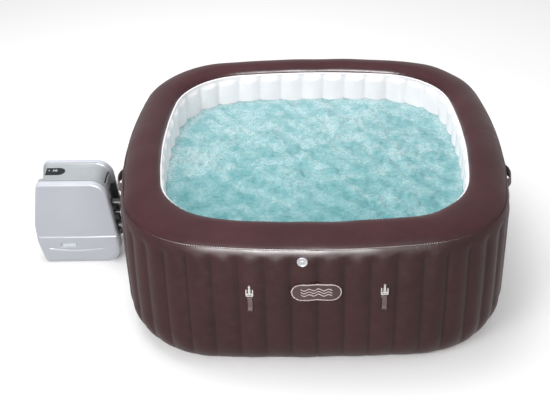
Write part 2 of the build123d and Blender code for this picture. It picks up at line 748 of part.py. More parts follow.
def make_cover_screws():
    """Pan-head screws along the rear cover"""
    with BuildPart() as screws:
        for height, x in SCREW_SPOTS:
            for y in (DECK_FRONT + 14, DECK_BACK - 14):
                with BuildSketch(Plane.YZ.offset(x)):
                    with Locations((y, height)):
                        Circle(4.5)
                extrude(amount=3)
    save(screws.part, "cover_screws")


def make_control_panel():
    """Panel window, the board under it and five press buttons"""
    spots = [(WINDOW_X - 20 + BUTTON_SPACING * step, WINDOW_Y - 18) for step in range(len(BUTTONS))]
    with BuildPart() as window:
        with BuildSketch(Plane.XY.offset(DECK_TOP - COVER_WALL)):
            draw_window()
            with Locations(*spots):
                Circle(BUTTON_RADIUS + 0.3, mode=Mode.SUBTRACT)
        extrude(amount=COVER_WALL + 0.8)
    save(window.part, "control_window")
    with BuildPart() as board:
        with BuildSketch(Plane.XY.offset(DECK_TOP - 14)):
            with Locations((WINDOW_X, WINDOW_Y)):
                Rectangle(88, 64)
        extrude(amount=1.6)
    save(board.part, "display_board")
    for name, (x, y) in zip(BUTTONS, spots):
        with BuildPart() as button:
            with BuildSketch(Plane.XY.offset(DECK_TOP - 3)):
                with Locations((x, y)):
                    Circle(BUTTON_RADIUS)
            extrude(amount=5.2)
            fillet(button.edges().group_by(Axis.Z)[-1], radius=0.6)
            with BuildSketch(Plane.XY.offset(DECK_TOP - COVER_WALL - 3.5)):
                with Locations((x, y)):
                    Circle(BUTTON_RADIUS + 1)
            extrude(amount=2)
            with BuildSketch(Plane.XY.offset(DECK_TOP - COVER_WALL - 3.5)):
                with Locations((x, y)):
                    Circle(3)
            extrude(amount=5)
        save(button.part, f"{name}_button")


# ---------------------------------------------------------------- machinery of the pump unit

def disc_on_axis(x, y, z, radius, length, mode=Mode.ADD):
    """Cylinder along X from one end"""
    with BuildSketch(Plane.YZ.offset(x)) as disc:
        with Locations((y, z)):
            Circle(radius)
    extrude(disc.sketch, amount=length, mode=mode)


def make_water_pump():
    """Motor and hollow volute on the lower pipe's axis, and the impeller that spins in it"""
    z = PORTS["lower"][0]
    with BuildPart() as machine:
        disc_on_axis(-1470, MOTOR_Y, z, 40, 130)
        disc_on_axis(-1340, MOTOR_Y, z, 56, 46)
        disc_on_axis(-1335, MOTOR_Y, z, 48, 36, Mode.SUBTRACT)
        disc_on_axis(-1300, MOTOR_Y, z, 26, 20, Mode.SUBTRACT)
        disc_on_axis(-1345, MOTOR_Y, z, 4.06, 20, Mode.SUBTRACT)
    save(machine.part, "water_pump")
    with BuildPart() as impeller:
        disc_on_axis(-1330, MOTOR_Y, z, 42, 5)
        disc_on_axis(-1325, MOTOR_Y, z, 12, 14)
        disc_on_axis(-1343, MOTOR_Y, z, 4, 14)
        with BuildSketch(Plane.YZ.offset(-1325)):
            with Locations((MOTOR_Y, z)):
                with PolarLocations(25, 6):
                    Rectangle(28, 3)
        extrude(amount=12)
    save(impeller.part, "pump_impeller")


def make_blower():
    """Air blower beside the pipes, and its fan"""
    z = PORTS["middle"][0]
    with BuildPart() as housing:
        disc_on_axis(-1330, BLOWER_Y, z, 45, 60)
        disc_on_axis(-1325, BLOWER_Y, z, 40, 50, Mode.SUBTRACT)
        disc_on_axis(-1280, BLOWER_Y, z, 12, 20, Mode.SUBTRACT)
        disc_on_axis(-1340, BLOWER_Y, z, 4.06, 20, Mode.SUBTRACT)
        disc_on_axis(-1376, BLOWER_Y, z, 28, 46)
        disc_on_axis(-1342, BLOWER_Y, z, 4.06, 20, Mode.SUBTRACT)
    save(housing.part, "blower_housing")
    with BuildPart() as fan:
        disc_on_axis(-1318, BLOWER_Y, z, 34, 4)
        disc_on_axis(-1340, BLOWER_Y, z, 4, 24)
        with BuildSketch(Plane.YZ.offset(-1314)):
            with Locations((BLOWER_Y, z)):
                with PolarLocations(22, 8):
                    Rectangle(22, 2.5)
        extrude(amount=20)
    save(fan.part, "blower_fan")


def make_heater():
    """Stainless heater tube on the upper pipe's axis"""
    z = PORTS["upper"][0]
    with BuildPart() as heater:
        disc_on_axis(-1430, PORT_Y, z, 28, 210)
        disc_on_axis(-1440, PORT_Y, z, 18, 10)
        fillet(heater.edges().filter_by(GeomType.CIRCLE).sort_by(SortBy.RADIUS)[-1], radius=4)
        disc_on_axis(-1300, PORT_Y, z, 16, 90, Mode.SUBTRACT)
    save(heater.part, "heater")


def make_control_box():
    """Closed box of the electronics under the deck"""
    with BuildPart() as box:
        with BuildSketch(Plane.XY.offset(378)):
            with Locations((-1390, 120)):
                RectangleRounded(130, 110, 6)
        extrude(amount=62)
        fillet(box.edges().group_by(Axis.Z)[-1], radius=3)
    save(box.part, "control_box")


def make_pump_pipes():
    """Three pipes from the machinery out through the rear cover, each ending in a collar"""
    inner_ends = {"upper": -1219.0, "lower": -1293.5}
    collar_x = NUT_BACK + NUT_SHOULDER + 1
    with BuildPart() as pipes:
        for name, start in inner_ends.items():
            height, nut, spigot, tail = PORTS[name]
            disc_on_axis(start, PORT_Y, height, spigot, collar_x - start)
            disc_on_axis(collar_x, PORT_Y, height, tail - 1, 4)
            disc_on_axis(start - 1, PORT_Y, height, spigot - 3, 300, Mode.SUBTRACT)
        height, nut, spigot, tail = PORTS["middle"]
        disc_on_axis(-1160, PORT_Y, height, spigot, collar_x + 1160)
        disc_on_axis(collar_x, PORT_Y, height, tail - 1, 4)
        with BuildLine():
            bend = FilletPolyline((-1160, PORT_Y, height), (-1186, PORT_Y, height),
                                  (-1230, BLOWER_Y, height), (-1269, BLOWER_Y, height), radius=[24, 24])
        with BuildSketch(Plane(origin=bend @ 0, z_dir=bend % 0)):
            Circle(spigot)
        sweep()
    save(pipes.part, "pump_pipes")


def make_union_nuts():
    """Captive nuts with grip ribs that clamp the pump's collars on the tub's tails"""
    for name, (height, nut, spigot, tail) in PORTS.items():
        with BuildPart() as ring:
            disc_on_axis(NUT_BACK, PORT_Y, height, nut - 3, NUT_LENGTH)
            with BuildSketch(Plane.YZ.offset(NUT_BACK)):
                with Locations((PORT_Y, height)):
                    with PolarLocations(nut - 3, 12):
                        RectangleRounded(6, 7, 1.5)
            extrude(amount=NUT_LENGTH)
            disc_on_axis(NUT_BACK - 1, PORT_Y, height, spigot + 0.4, NUT_LENGTH + 2, Mode.SUBTRACT)
            disc_on_axis(NUT_BACK + NUT_SHOULDER, PORT_Y, height, tail + 0.4, NUT_LENGTH, Mode.SUBTRACT)
        save(ring.part, f"{name}_union_nut")


def make_cable_gland():
    """Strain relief for the mains lead, low on the back cover"""
    with BuildPart() as gland:
        with BuildSketch(Plane.XZ.offset(-PUMP_BACK + 8)):
            with Locations(GLAND_SPOT):
                Circle(9)
        extrude(amount=-9)
        with BuildSketch(Plane.XZ.offset(-PUMP_BACK - 1)):
            with Locations(GLAND_SPOT):
                Circle(13)
        extrude(amount=-5)
        with BuildSketch(Plane.XZ.offset(-PUMP_BACK - 20)):
            with Locations(GLAND_SPOT):
                Circle(4.5)
        extrude(amount=60, mode=Mode.SUBTRACT)
    save(gland.part, "cable_gland")


os.makedirs("parts", exist_ok=True)
make_bottom_sheet()
make_tub_floor()
make_outer_wall()
make_top_panel()
make_inner_wall()
make_top_seam()
make_wall_beams()
make_bubble_channel()
make_jet_hose()
make_jet_housings()
make_jet_nozzles()
make_wall_fittings()
make_air_hose()
make_filter()
make_inflation_valve()
make_drain_valve()
make_badge()
make_carry_handles()
make_buckles()
make_buckle_straps()
make_near_cover()
make_far_cover()
make_deck()
make_rear_cover()
make_pump_base()
make_cover_screws()
make_control_panel()
make_water_pump()
make_blower()
make_heater()
make_control_box()
make_pump_pipes()
make_union_nuts()
make_cable_gland()
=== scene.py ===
import json

import bmesh
import bpy
import numpy as np
from mathutils import Matrix, Vector


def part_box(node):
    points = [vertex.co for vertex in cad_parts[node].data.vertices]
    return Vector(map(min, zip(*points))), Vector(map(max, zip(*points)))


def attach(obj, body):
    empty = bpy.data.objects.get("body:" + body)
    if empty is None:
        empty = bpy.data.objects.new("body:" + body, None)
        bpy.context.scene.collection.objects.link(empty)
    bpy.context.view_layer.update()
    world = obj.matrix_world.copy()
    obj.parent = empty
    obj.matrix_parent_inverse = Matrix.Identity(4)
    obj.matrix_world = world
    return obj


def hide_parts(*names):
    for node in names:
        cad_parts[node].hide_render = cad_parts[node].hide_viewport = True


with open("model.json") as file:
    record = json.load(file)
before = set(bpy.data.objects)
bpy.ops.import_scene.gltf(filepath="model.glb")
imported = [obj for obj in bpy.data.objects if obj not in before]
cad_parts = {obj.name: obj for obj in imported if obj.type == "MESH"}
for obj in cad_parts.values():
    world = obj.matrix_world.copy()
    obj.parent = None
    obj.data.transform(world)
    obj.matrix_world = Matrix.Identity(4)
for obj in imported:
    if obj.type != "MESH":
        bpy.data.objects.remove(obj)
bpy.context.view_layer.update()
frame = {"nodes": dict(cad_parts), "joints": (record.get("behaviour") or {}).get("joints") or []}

# ------------------------------------------------------------------ sizes in metres
# The tub stands with its middle over the origin, its front towards -Y and the pump at -X.
HALF_WIDTH = 1.005
TUB_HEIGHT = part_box("top_panel")[1][2]
WIDEST_HEIGHT = 0.666
TOP_SIDE_RADIUS = 3.410         # plan radius of a side's bow
BASE_SIDE_RADIUS = 9.370
TOP_CORNER_RADIUS = 0.493
BASE_CORNER_RADIUS = 0.516
STRAIGHTEN_HEIGHT = 0.600       # the side's bow is full from here up
BASE_ROUND_HEIGHT = 0.200       # the foot curves under below this
BASE_ROUND_DEPTH = 0.126
FOOT_INSET = 0.020
CREST_INSET = 0.143             # from the widest outline in to the rim's highest line
LIP_INSET = 0.203               # and to the lip, where the rim meets the liner
LIP_HEIGHT = 0.756
LIP_HALF = HALF_WIDTH - LIP_INSET
LIP_CORNER_RADIUS = 0.407
LIP_SIDE_RADIUS = TOP_SIDE_RADIUS - LIP_INSET
SEAM_HEIGHT = 0.724             # 9 mm over the CAD seam
FLOOR_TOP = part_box("tub_floor")[1][2]
WATER_LEVEL = 0.587
SKIN = 0.003
FRONT_SAG = 0.026               # how far the rim's front crest hangs below the CAD one
SHOULDER_HEIGHT = 0.640         # where the flutes start to fade out
FLUTE_POWER = 0.75              # under 1: full between welds and sharp at each weld

FLUTE_PITCH = 0.1255
SIDE_FLUTES = 4                 # flutes on each half of a side
QUARTER_FLUTES = 14             # flutes round a quarter of the outer wall
INNER_FLUTES = 11               # and of the inner wall
FLUTE_DEPTH = 0.0165
FLUTE_SHARE = 0.72              # this share of a flute's depth lies inside the smooth wall
INNER_FLUTE_DEPTH = 0.019

JET_HEIGHT = 0.330
JET_OFFSET = 2.5 * FLUTE_PITCH
BADGE_LENGTH = 0.243


# ------------------------------------------------------------------ plan outlines

class Outline:
    """Bowed square: four side arcs of one radius and four tangent corner arcs of another"""

    def __init__(self, half_width, side_radius, corner_radius):
        self.side_radius = np.asarray(side_radius, float)
        self.corner_radius = np.asarray(corner_radius, float)
        self.set_back = self.side_radius - half_width
        between = self.side_radius - self.corner_radius
        self.reach = (np.sqrt(2 * between ** 2 - self.set_back ** 2) - self.set_back) / 2
        self.half_angle = np.arctan2(self.reach, self.reach + self.set_back)
        self.side_half = self.side_radius * self.half_angle
        self.corner_length = self.corner_radius * (np.pi / 2 - 2 * self.half_angle)
        self.quarter = 2 * self.side_half + self.corner_length

    def at(self, length):
        """Point and outward normal at a length along the outline, counted from the middle of +X"""
        quarter_number = np.floor((length + self.side_half) / self.quarter)
        along = length - quarter_number * self.quarter
        on_side = along <= self.side_half
        side_angle = along / self.side_radius
        corner_angle = self.half_angle + (along - self.side_half) / self.corner_radius
        angle = np.where(on_side, side_angle, corner_angle)
        radius = np.where(on_side, self.side_radius, self.corner_radius)
        centre_x = np.where(on_side, -self.set_back, self.reach)
        centre_y = np.where(on_side, 0.0, self.reach)
        x = centre_x + radius * np.cos(angle)
        y = centre_y + radius * np.sin(angle)
        turn = quarter_number * np.pi / 2
        cos_turn, sin_turn = np.cos(turn), np.sin(turn)
        point = np.stack([x * cos_turn - y * sin_turn, x * sin_turn + y * cos_turn], -1)
        normal = np.stack([np.cos(angle + turn), np.sin(angle + turn)], -1)
        return point, normal

    def distance(self, x, y):
        """Signed distance outwards, from the side arc or the corner arc that faces the point"""
        ax, ay = np.abs(x), np.abs(y)
        big, small = np.maximum(ax, ay), np.minimum(ax, ay)
        side_angle = np.arctan2(small, big + self.set_back)
        to_side = np.hypot(big + self.set_back, small) - self.side_radius
        to_corner = np.hypot(big - self.reach, small - self.reach) - self.corner_radius
        return np.where(side_angle <= self.half_angle, to_side, to_corner)


def wall_outline(height, inset=0.0):
    """Outline of the outer wall at a height: its bow (1 / radius) fades evenly towards the floor"""
    share = np.minimum(1.0, np.asarray(height, float) / STRAIGHTEN_HEIGHT)
    bow = (1 - share) / BASE_SIDE_RADIUS + share / TOP_SIDE_RADIUS
    corner = BASE_CORNER_RADIUS + share * (TOP_CORNER_RADIUS - BASE_CORNER_RADIUS)
    return Outline(HALF_WIDTH - inset, 1 / bow - inset, corner - inset)


def rim_outline(inset):
    """Outline inside the rim, whose corners open out with the square of the inset"""
    extra = LIP_CORNER_RADIUS - (TOP_CORNER_RADIUS - LIP_INSET)
    corner = TOP_CORNER_RADIUS - inset + extra * (inset / LIP_INSET) ** 2
    return Outline(HALF_WIDTH - inset, TOP_SIDE_RADIUS - inset, corner)


def wall_inset(height):
    """Quarter ellipse at the foot, a power of 1.5 to the widest height, a quarter ellipse above it"""
    height = np.asarray(height, float)
    drop = np.clip(1 - height / BASE_ROUND_HEIGHT, 0, 1)
    foot = FOOT_INSET + BASE_ROUND_DEPTH * (1 - np.sqrt(1 - drop ** 2))
    share = np.clip((WIDEST_HEIGHT - height) / (WIDEST_HEIGHT - BASE_ROUND_HEIGHT), 0, 1)
    middle = FOOT_INSET * share ** 1.5
    rise = np.clip((height - WIDEST_HEIGHT) / (TUB_HEIGHT - WIDEST_HEIGHT), 0, 1)
    dome = CREST_INSET * (1 - np.sqrt(1 - rise ** 2))
    return np.where(height < BASE_ROUND_HEIGHT, foot, np.where(height < WIDEST_HEIGHT, middle, dome))


TOP_OUTLINE = wall_outline(WIDEST_HEIGHT)
LIP_OUTLINE = Outline(LIP_HALF, LIP_SIDE_RADIUS, LIP_CORNER_RADIUS)
JET_LENGTHS = [np.mod(side * LIP_OUTLINE.quarter + hand * JET_OFFSET, 4 * LIP_OUTLINE.quarter)
               for side in range(4) for hand in (-1, 1)]


def smooth_step(low, high, value):
    """0 below low, 1 above high, 3t^2 - 2t^3 between them"""
    t = np.clip((value - low) / (high - low), 0, 1)
    return t * t * (3 - 2 * t)


def flute_bulge(count):
    """Flute profile |sin(pi * count)|^0.75, less the share that lies inside the smooth wall"""
    return np.abs(np.sin(np.pi * count)) ** FLUTE_POWER - FLUTE_SHARE


def flute_length(count):
    """Length along the top outline of a flute count: even on the sides, a little closer at corners"""
    corner_pitch = (TOP_OUTLINE.quarter - 2 * SIDE_FLUTES * FLUTE_PITCH) / (QUARTER_FLUTES - 2 * SIDE_FLUTES)
    quarter_number = np.floor((count + SIDE_FLUTES) / QUARTER_FLUTES)
    within = count - quarter_number * QUARTER_FLUTES
    beyond = np.maximum(within - SIDE_FLUTES, 0)
    on_side = np.minimum(within, SIDE_FLUTES) * FLUTE_PITCH
    return quarter_number * TOP_OUTLINE.quarter + on_side + beyond * corner_pitch


def wall_point(length, height, proud=0.0):
    """Point of the outer wall straight inwards from a length along the top outline, and its normal

    The point is found by stepping along the top outline's normal by the distance still left.
    """
    top_point, normal = TOP_OUTLINE.at(length)
    outline = wall_outline(height)
    inset = wall_inset(height)
    inner = Outline(HALF_WIDTH - inset, outline.side_radius - inset, outline.corner_radius - inset)
    depth = np.zeros(np.broadcast(length, height).shape)
    for _ in range(6):
        x = top_point[..., 0] - normal[..., 0] * depth
        y = top_point[..., 1] - normal[..., 1] * depth
        depth = depth + inner.distance(x, y)
    depth = depth - proud
    x = top_point[..., 0] - normal[..., 0] * depth
    y = top_point[..., 1] - normal[..., 1] * depth
    z = np.broadcast_to(height, x.shape)
    return np.stack([x, y, z], -1), normal


def waves(x, y, size, count, seed):
    """Sum of sine waves of many directions, about one wavelength long, scaled to about -1..1"""
    rng = np.random.default_rng(seed)
    total = np.zeros(np.broadcast(x, y).shape)
    for _ in range(count):
        angle = rng.uniform(0, 2 * np.pi)
        number = 2 * np.pi / (size * rng.uniform(0.7, 1.5))
        phase = rng.uniform(0, 2 * np.pi)
        total += np.sin(number * (x * np.cos(angle) + y * np.sin(angle)) + phase)
    return total / np.sqrt(count)


# ------------------------------------------------------------------ meshes

def mesh_object(name, points, faces, uv=None):
    """Object from arrays of points and of four-cornered faces, with an optional UV pair per point"""
    mesh = bpy.data.meshes.new(name)
    mesh.vertices.add(len(points))
    mesh.vertices.foreach_set("co", np.ascontiguousarray(points, np.float32).ravel())
    mesh.loops.add(faces.size)
    mesh.loops.foreach_set("vertex_index", np.ascontiguousarray(faces, np.int32).ravel())
    mesh.polygons.add(len(faces))
    mesh.polygons.foreach_set("loop_start", np.arange(0, faces.size, faces.shape[1], dtype=np.int32))
    mesh.polygons.foreach_set("loop_total", np.full(len(faces), faces.shape[1], np.int32))
    if uv is not None:
        layer = mesh.uv_layers.new(name="UVMap")
        layer.data.foreach_set("uv", np.ascontiguousarray(uv[faces.ravel()], np.float32).ravel())
    mesh.update(calc_edges=True)
    mesh.validate()
    obj = bpy.data.objects.new(name, mesh)
    bpy.context.scene.collection.objects.link(obj)
    mesh.shade_smooth()
    return obj


def grid_faces(rows, columns, closed_columns=False, closed_rows=False, flip=False):
    """Corner numbers of the quads of a grid of rows and columns"""
    row_count = rows if closed_rows else rows - 1
    column_count = columns if closed_columns else columns - 1
    row, column = np.meshgrid(np.arange(row_count), np.arange(column_count), indexing="ij")
    next_row, next_column = (row + 1) % rows, (column + 1) % columns
    corners = [row * columns + column, row * columns + next_column,
               next_row * columns + next_column, next_row * columns + column]
    if flip:
        corners = corners[::-1]
    return np.stack(corners, -1).reshape(-1, 4)


def grid_object(name, points, closed_columns=False, closed_rows=False, flip=False, uv=None):
    """Object from a grid of points, rows by columns"""
    rows, columns = points.shape[:2]
    faces = grid_faces(rows, columns, closed_columns, closed_rows, flip)
    flat_uv = None if uv is None else uv.reshape(-1, 2)
    return mesh_object(name, points.reshape(-1, 3), faces, flat_uv)


def store(obj, name, values):
    """Keep one number per point of a grid for a material to read"""
    layer = obj.data.attributes.new(name, "FLOAT", "POINT")
    layer.data.foreach_set("value", values.ravel().astype(np.float32))


def tidy_mesh(obj, distance=0.00005):
    """Merge doubled points and turn every face outwards"""
    work = bmesh.new()
    work.from_mesh(obj.data)
    bmesh.ops.remove_doubles(work, verts=work.verts, dist=distance)
    bmesh.ops.dissolve_degenerate(work, edges=work.edges, dist=distance / 10)
    bmesh.ops.recalc_face_normals(work, faces=work.faces)
    work.to_mesh(obj.data)
    work.free()
    return obj


def thicken(obj, thickness, offset=-1):
    """Give a sheet its thickness, on the side away from its normals unless the offset says otherwise"""
    solid = obj.modifiers.new("skin", "SOLIDIFY")
    solid.thickness = thickness
    solid.offset = offset
    return obj


def join(name, objects):
    """Join mesh objects into one, keeping their material slots"""
    target = objects[0]
    with bpy.context.temp_override(active_object=target, selected_editable_objects=objects):
        bpy.ops.object.join()
    target.name = name
    return target


def lathe(name, profile, origin, axis, sides=64, ripple=0.0, ripples=0, ripple_from=0):
    """Profile of (radius, height) pairs turned about an axis

    radius * (1 + ripple * cos(ripples * angle)) makes grip scallops from the row ripple_from on.
    """
    profile = np.asarray(profile, float)
    axis = np.asarray(axis, float) / np.linalg.norm(axis)
    helper = np.array([0.0, 0.0, 1.0]) if abs(axis[2]) < 0.9 else np.array([1.0, 0.0, 0.0])
    first = np.cross(helper, axis)
    first /= np.linalg.norm(first)
    second = np.cross(axis, first)
    angle = np.linspace(0, 2 * np.pi, sides, endpoint=False)
    radius = profile[:, :1] * np.ones(sides)
    if ripples:
        grip = 1 + ripple * np.cos(ripples * angle)
        radius[ripple_from:] = radius[ripple_from:] * grip
    points = (np.asarray(origin) + radius[..., None] * (np.cos(angle)[:, None] * first
              + np.sin(angle)[:, None] * second) + profile[:, 1][:, None, None] * axis)
    return tidy_mesh(grid_object(name, points, closed_columns=True))


# ------------------------------------------------------------------ materials

def linear(code):
    """sRGB hex code to a linear colour"""
    value = np.array([int(code[place:place + 2], 16) for place in (1, 3, 5)]) / 255
    value = np.where(value <= 0.04045, value / 12.92, ((value + 0.055) / 1.055) ** 2.4)
    return (*value, 1.0)


def blotch(millimetres):
    """Noise scale whose blotches are about so many millimetres across"""
    return 500 / millimetres


def add(tree, kind, inputs=None, stops=(), **settings):
    """Add a node, set its settings and its ramp's stops, and give each input a value or a link

    A node that is given as an input stands for its first output.
    """
    node = tree.nodes.new(kind)
    for name, value in settings.items():
        setattr(node, name, value)
    for name, value in (inputs or {}).items():
        source = value.outputs[0] if isinstance(value, bpy.types.Node) else value
        if isinstance(source, bpy.types.NodeSocket):
            tree.links.new(source, node.inputs[name])
        else:
            node.inputs[name].default_value = source
    if stops:
        elements = node.color_ramp.elements
        while len(elements) < len(stops):
            elements.new(0.5)
        for element, (place, code) in zip(elements, stops):
            element.position = place
            element.color = linear(code)
    return node


def new_material(name):
    """Empty node material and its tree"""
    material = bpy.data.materials.new(name)
    material.use_nodes = True
    material.node_tree.nodes.clear()
    return material, material.node_tree


def moulded(name, light, dark, roughness, grain, depth, mottle=60.0, coat=0.0, metallic=0.0, ior=1.49):
    """Moulded plastic, rubber or metal: a fine grain in the bump, a slow drift of colour and gloss"""
    material, tree = new_material(name)
    coords = add(tree, "ShaderNodeTexCoord").outputs["Object"]
    drift = add(tree, "ShaderNodeTexNoise", {"Vector": coords, "Scale": blotch(mottle), "Detail": 4.0})
    fine = add(tree, "ShaderNodeTexNoise", {"Vector": coords, "Scale": blotch(grain), "Detail": 2.0})
    colour = add(tree, "ShaderNodeValToRGB", {"Fac": drift}, stops=[(0.30, dark), (0.72, light)])
    gloss = add(tree, "ShaderNodeMapRange",
                {"Value": drift, "To Min": roughness * 0.86, "To Max": roughness * 1.14})
    bump = add(tree, "ShaderNodeBump", {"Height": fine, "Strength": depth, "Distance": 0.0004})
    shader = add(tree, "ShaderNodeBsdfPrincipled",
                 {"Base Color": colour, "Roughness": gloss, "Normal": bump, "Metallic": metallic,
                  "Coat Weight": coat, "Coat Roughness": 0.12})
    if not metallic:
        shader.inputs["IOR"].default_value = ior
    add(tree, "ShaderNodeOutputMaterial", {"Surface": shader})
    return material


def laminated_pvc(name, light, dark, roughness, crease, grain_strength=0.35):
    """Laminated PVC, calendered: a satin vinyl face over a mesh that just shows, slack creases in it

    The attribute "weld" paints shade into the creases along the welds.
    """
    material, tree = new_material(name)
    coords = add(tree, "ShaderNodeTexCoord").outputs["Object"]
    drift = add(tree, "ShaderNodeTexNoise",
                {"Vector": coords, "Scale": blotch(170), "Detail": 5.0, "Roughness": 0.6})
    scuff = add(tree, "ShaderNodeTexNoise",
                {"Vector": coords, "Scale": blotch(22), "Detail": 6.0, "Roughness": 0.65})
    scuff_share = add(tree, "ShaderNodeMath", {0: scuff, 1: 0.28}, operation="MULTIPLY")
    tone = add(tree, "ShaderNodeMath", {0: drift, 1: 0.72, 2: scuff_share}, operation="MULTIPLY_ADD")
    colour = add(tree, "ShaderNodeValToRGB", {"Fac": tone}, stops=[(0.34, dark), (0.68, light)])
    weld = add(tree, "ShaderNodeAttribute", attribute_name="weld").outputs["Fac"]
    crease_shade_share = add(tree, "ShaderNodeMath", {0: weld, 1: 0.55}, operation="MULTIPLY")
    # painted shade: the colour darkens towards #241213 in the creases along the welds
    crease_shaded = add(tree, "ShaderNodeMix", {0: crease_shade_share, 6: colour, 7: linear("#241213")}, data_type="RGBA")
    gloss = add(tree, "ShaderNodeMapRange", {"Value": scuff, "From Min": 0.3, "From Max": 0.7,
                                             "To Min": roughness * 0.88, "To Max": roughness * 1.15})
    # thread spacing of the mesh is under 1 mm: drawn 3 mm so that it can show
    grain = add(tree, "ShaderNodeTexNoise", {"Vector": coords, "Scale": blotch(3.0), "Detail": 2.0})
    slack = add(tree, "ShaderNodeTexNoise",
                {"Vector": coords, "Scale": blotch(55), "Detail": 3.0, "Roughness": 0.45})
    rough_bump = add(tree, "ShaderNodeBump", {"Height": slack, "Strength": crease, "Distance": 0.006})
    fine_bump = add(tree, "ShaderNodeBump", {"Height": grain, "Strength": grain_strength, "Distance": 0.0005,
                                             "Normal": rough_bump})
    shader = add(tree, "ShaderNodeBsdfPrincipled",
                 {"Base Color": crease_shaded.outputs[2], "Roughness": gloss, "Normal": fine_bump, "IOR": 1.53,
                  "Specular IOR Level": 0.30})
    add(tree, "ShaderNodeOutputMaterial", {"Surface": shader})
    return material


def churned_water(name):
    """Aerated water: teal body, pale where bubbles crowd, white froth where the surface is broken

    The attribute read here is 0 on still water and about 1 over the jets; it also carries painted shade,
    lower towards the front, which makes the water darker at the front and lighter at the back.
    """
    material, tree = new_material(name)
    coords = add(tree, "ShaderNodeTexCoord").outputs["Object"]
    foam_and_shade = add(tree, "ShaderNodeAttribute", attribute_name="foam_and_shade").outputs["Fac"]
    drift = add(tree, "ShaderNodeTexNoise",
                {"Vector": coords, "Scale": blotch(150), "Detail": 5.0, "Roughness": 0.62})
    swirl = add(tree, "ShaderNodeTexNoise",
                {"Vector": coords, "Scale": blotch(34), "Detail": 6.0, "Roughness": 0.7})
    chop = add(tree, "ShaderNodeTexNoise",
               {"Vector": coords, "Scale": blotch(16), "Detail": 6.0, "Roughness": 0.75})
    ripple = add(tree, "ShaderNodeTexNoise",
                 {"Vector": coords, "Scale": blotch(11), "Detail": 5.0, "Roughness": 0.62})
    # bubbles of 17 and 7 mm: real ones are finer, and are drawn so large that they can show
    cells = add(tree, "ShaderNodeTexVoronoi", {"Vector": coords, "Scale": 58.0}, feature="F1")
    specks = add(tree, "ShaderNodeTexVoronoi", {"Vector": coords, "Scale": 150.0}, feature="F1")

    # body = 0.14 drift + 0.26 swirl + 0.60 chop + 0.30 (foam - 0.45)
    body = add(tree, "ShaderNodeMath", {0: foam_and_shade, 1: 0.30, 2: -0.135}, operation="MULTIPLY_ADD")
    for share, pattern in ((0.60, chop), (0.26, swirl), (0.14, drift)):
        body = add(tree, "ShaderNodeMath", {0: pattern, 1: share, 2: body}, operation="MULTIPLY_ADD")
    water = add(tree, "ShaderNodeValToRGB", {"Fac": body},
                stops=[(0.34, "#5F979B"), (0.45, "#74A6AA"), (0.55, "#84B0B4"), (0.66, "#95BBBF")])

    # bubbles = 1 - 0.75 cells - 0.80 specks, 1 in the middle of a bubble
    bubbles = add(tree, "ShaderNodeMath", {0: cells, 1: -0.75, 2: 1.0}, operation="MULTIPLY_ADD")
    bubbles = add(tree, "ShaderNodeMath", {0: specks, 1: -0.80, 2: bubbles}, operation="MULTIPLY_ADD")

    # broken = (foam + 1.5 (swirl - 0.5)) (bubbles + 0.35), how much the bubbles cover the water
    less_half = add(tree, "ShaderNodeMath", {0: foam_and_shade, 1: -0.75}, operation="ADD")
    raised = add(tree, "ShaderNodeMath", {0: swirl, 1: 1.5, 2: less_half}, operation="MULTIPLY_ADD")
    crowd = add(tree, "ShaderNodeMath", {0: bubbles, 1: 0.35}, operation="ADD")
    broken = add(tree, "ShaderNodeMath", {0: raised, 1: crowd}, operation="MULTIPLY")
    cover = add(tree, "ShaderNodeMapRange",
                {"Value": broken, "From Min": 0.18, "From Max": 1.25, "To Max": 0.75})
    colour = add(tree, "ShaderNodeMix", {0: cover, 6: water, 7: linear("#D0DADB")}, data_type="RGBA")
    gloss = add(tree, "ShaderNodeMapRange",
                {"Value": broken, "From Min": 0.1, "From Max": 0.8, "To Min": 0.10, "To Max": 0.5})
    height = add(tree, "ShaderNodeMath", {0: bubbles, 1: 0.35, 2: ripple}, operation="MULTIPLY_ADD")
    bump = add(tree, "ShaderNodeBump", {"Height": height, "Strength": 0.85, "Distance": 0.007})
    shader = add(tree, "ShaderNodeBsdfPrincipled",
                 {"Base Color": colour.outputs[2], "Roughness": gloss, "Normal": bump, "IOR": 1.33,
                  "Subsurface Weight": 0.15, "Subsurface Radius": (0.02, 0.05, 0.05)})
    add(tree, "ShaderNodeOutputMaterial", {"Surface": shader})
    return material


def webbing(name, light, dark):
    """Woven polyester webbing: ribs across the strap and lighter threads, both on the strap's UV"""
    material, tree = new_material(name)
    uv = add(tree, "ShaderNodeTexCoord").outputs["UV"]
    # the rib spacing is 1.2 mm: drawn 2.4 mm so that it can show; UV is in metres
    ribs = add(tree, "ShaderNodeTexWave",
               {"Vector": uv, "Scale": 1 / 0.0024 / 6.28, "Distortion": 0.6, "Detail": 1.0},
               bands_direction="Y", wave_type="BANDS").outputs["Fac"]
    threads = add(tree, "ShaderNodeTexNoise", {"Vector": uv, "Scale": blotch(1.6), "Detail": 2.0})
    half_threads = add(tree, "ShaderNodeMath", {0: threads, 1: 0.5}, operation="MULTIPLY")
    tone = add(tree, "ShaderNodeMath", {0: ribs, 1: 0.5, 2: half_threads}, operation="MULTIPLY_ADD")
    colour = add(tree, "ShaderNodeValToRGB", {"Fac": tone}, stops=[(0.25, dark), (0.75, light)])
    bump = add(tree, "ShaderNodeBump", {"Height": tone, "Strength": 0.7, "Distance": 0.0008})
    shader = add(tree, "ShaderNodeBsdfPrincipled",
                 {"Base Color": colour, "Normal": bump, "Roughness": 0.68, "Sheen Weight": 0.3,
                  "Sheen Roughness": 0.5})
    add(tree, "ShaderNodeOutputMaterial", {"Surface": shader})
    return material


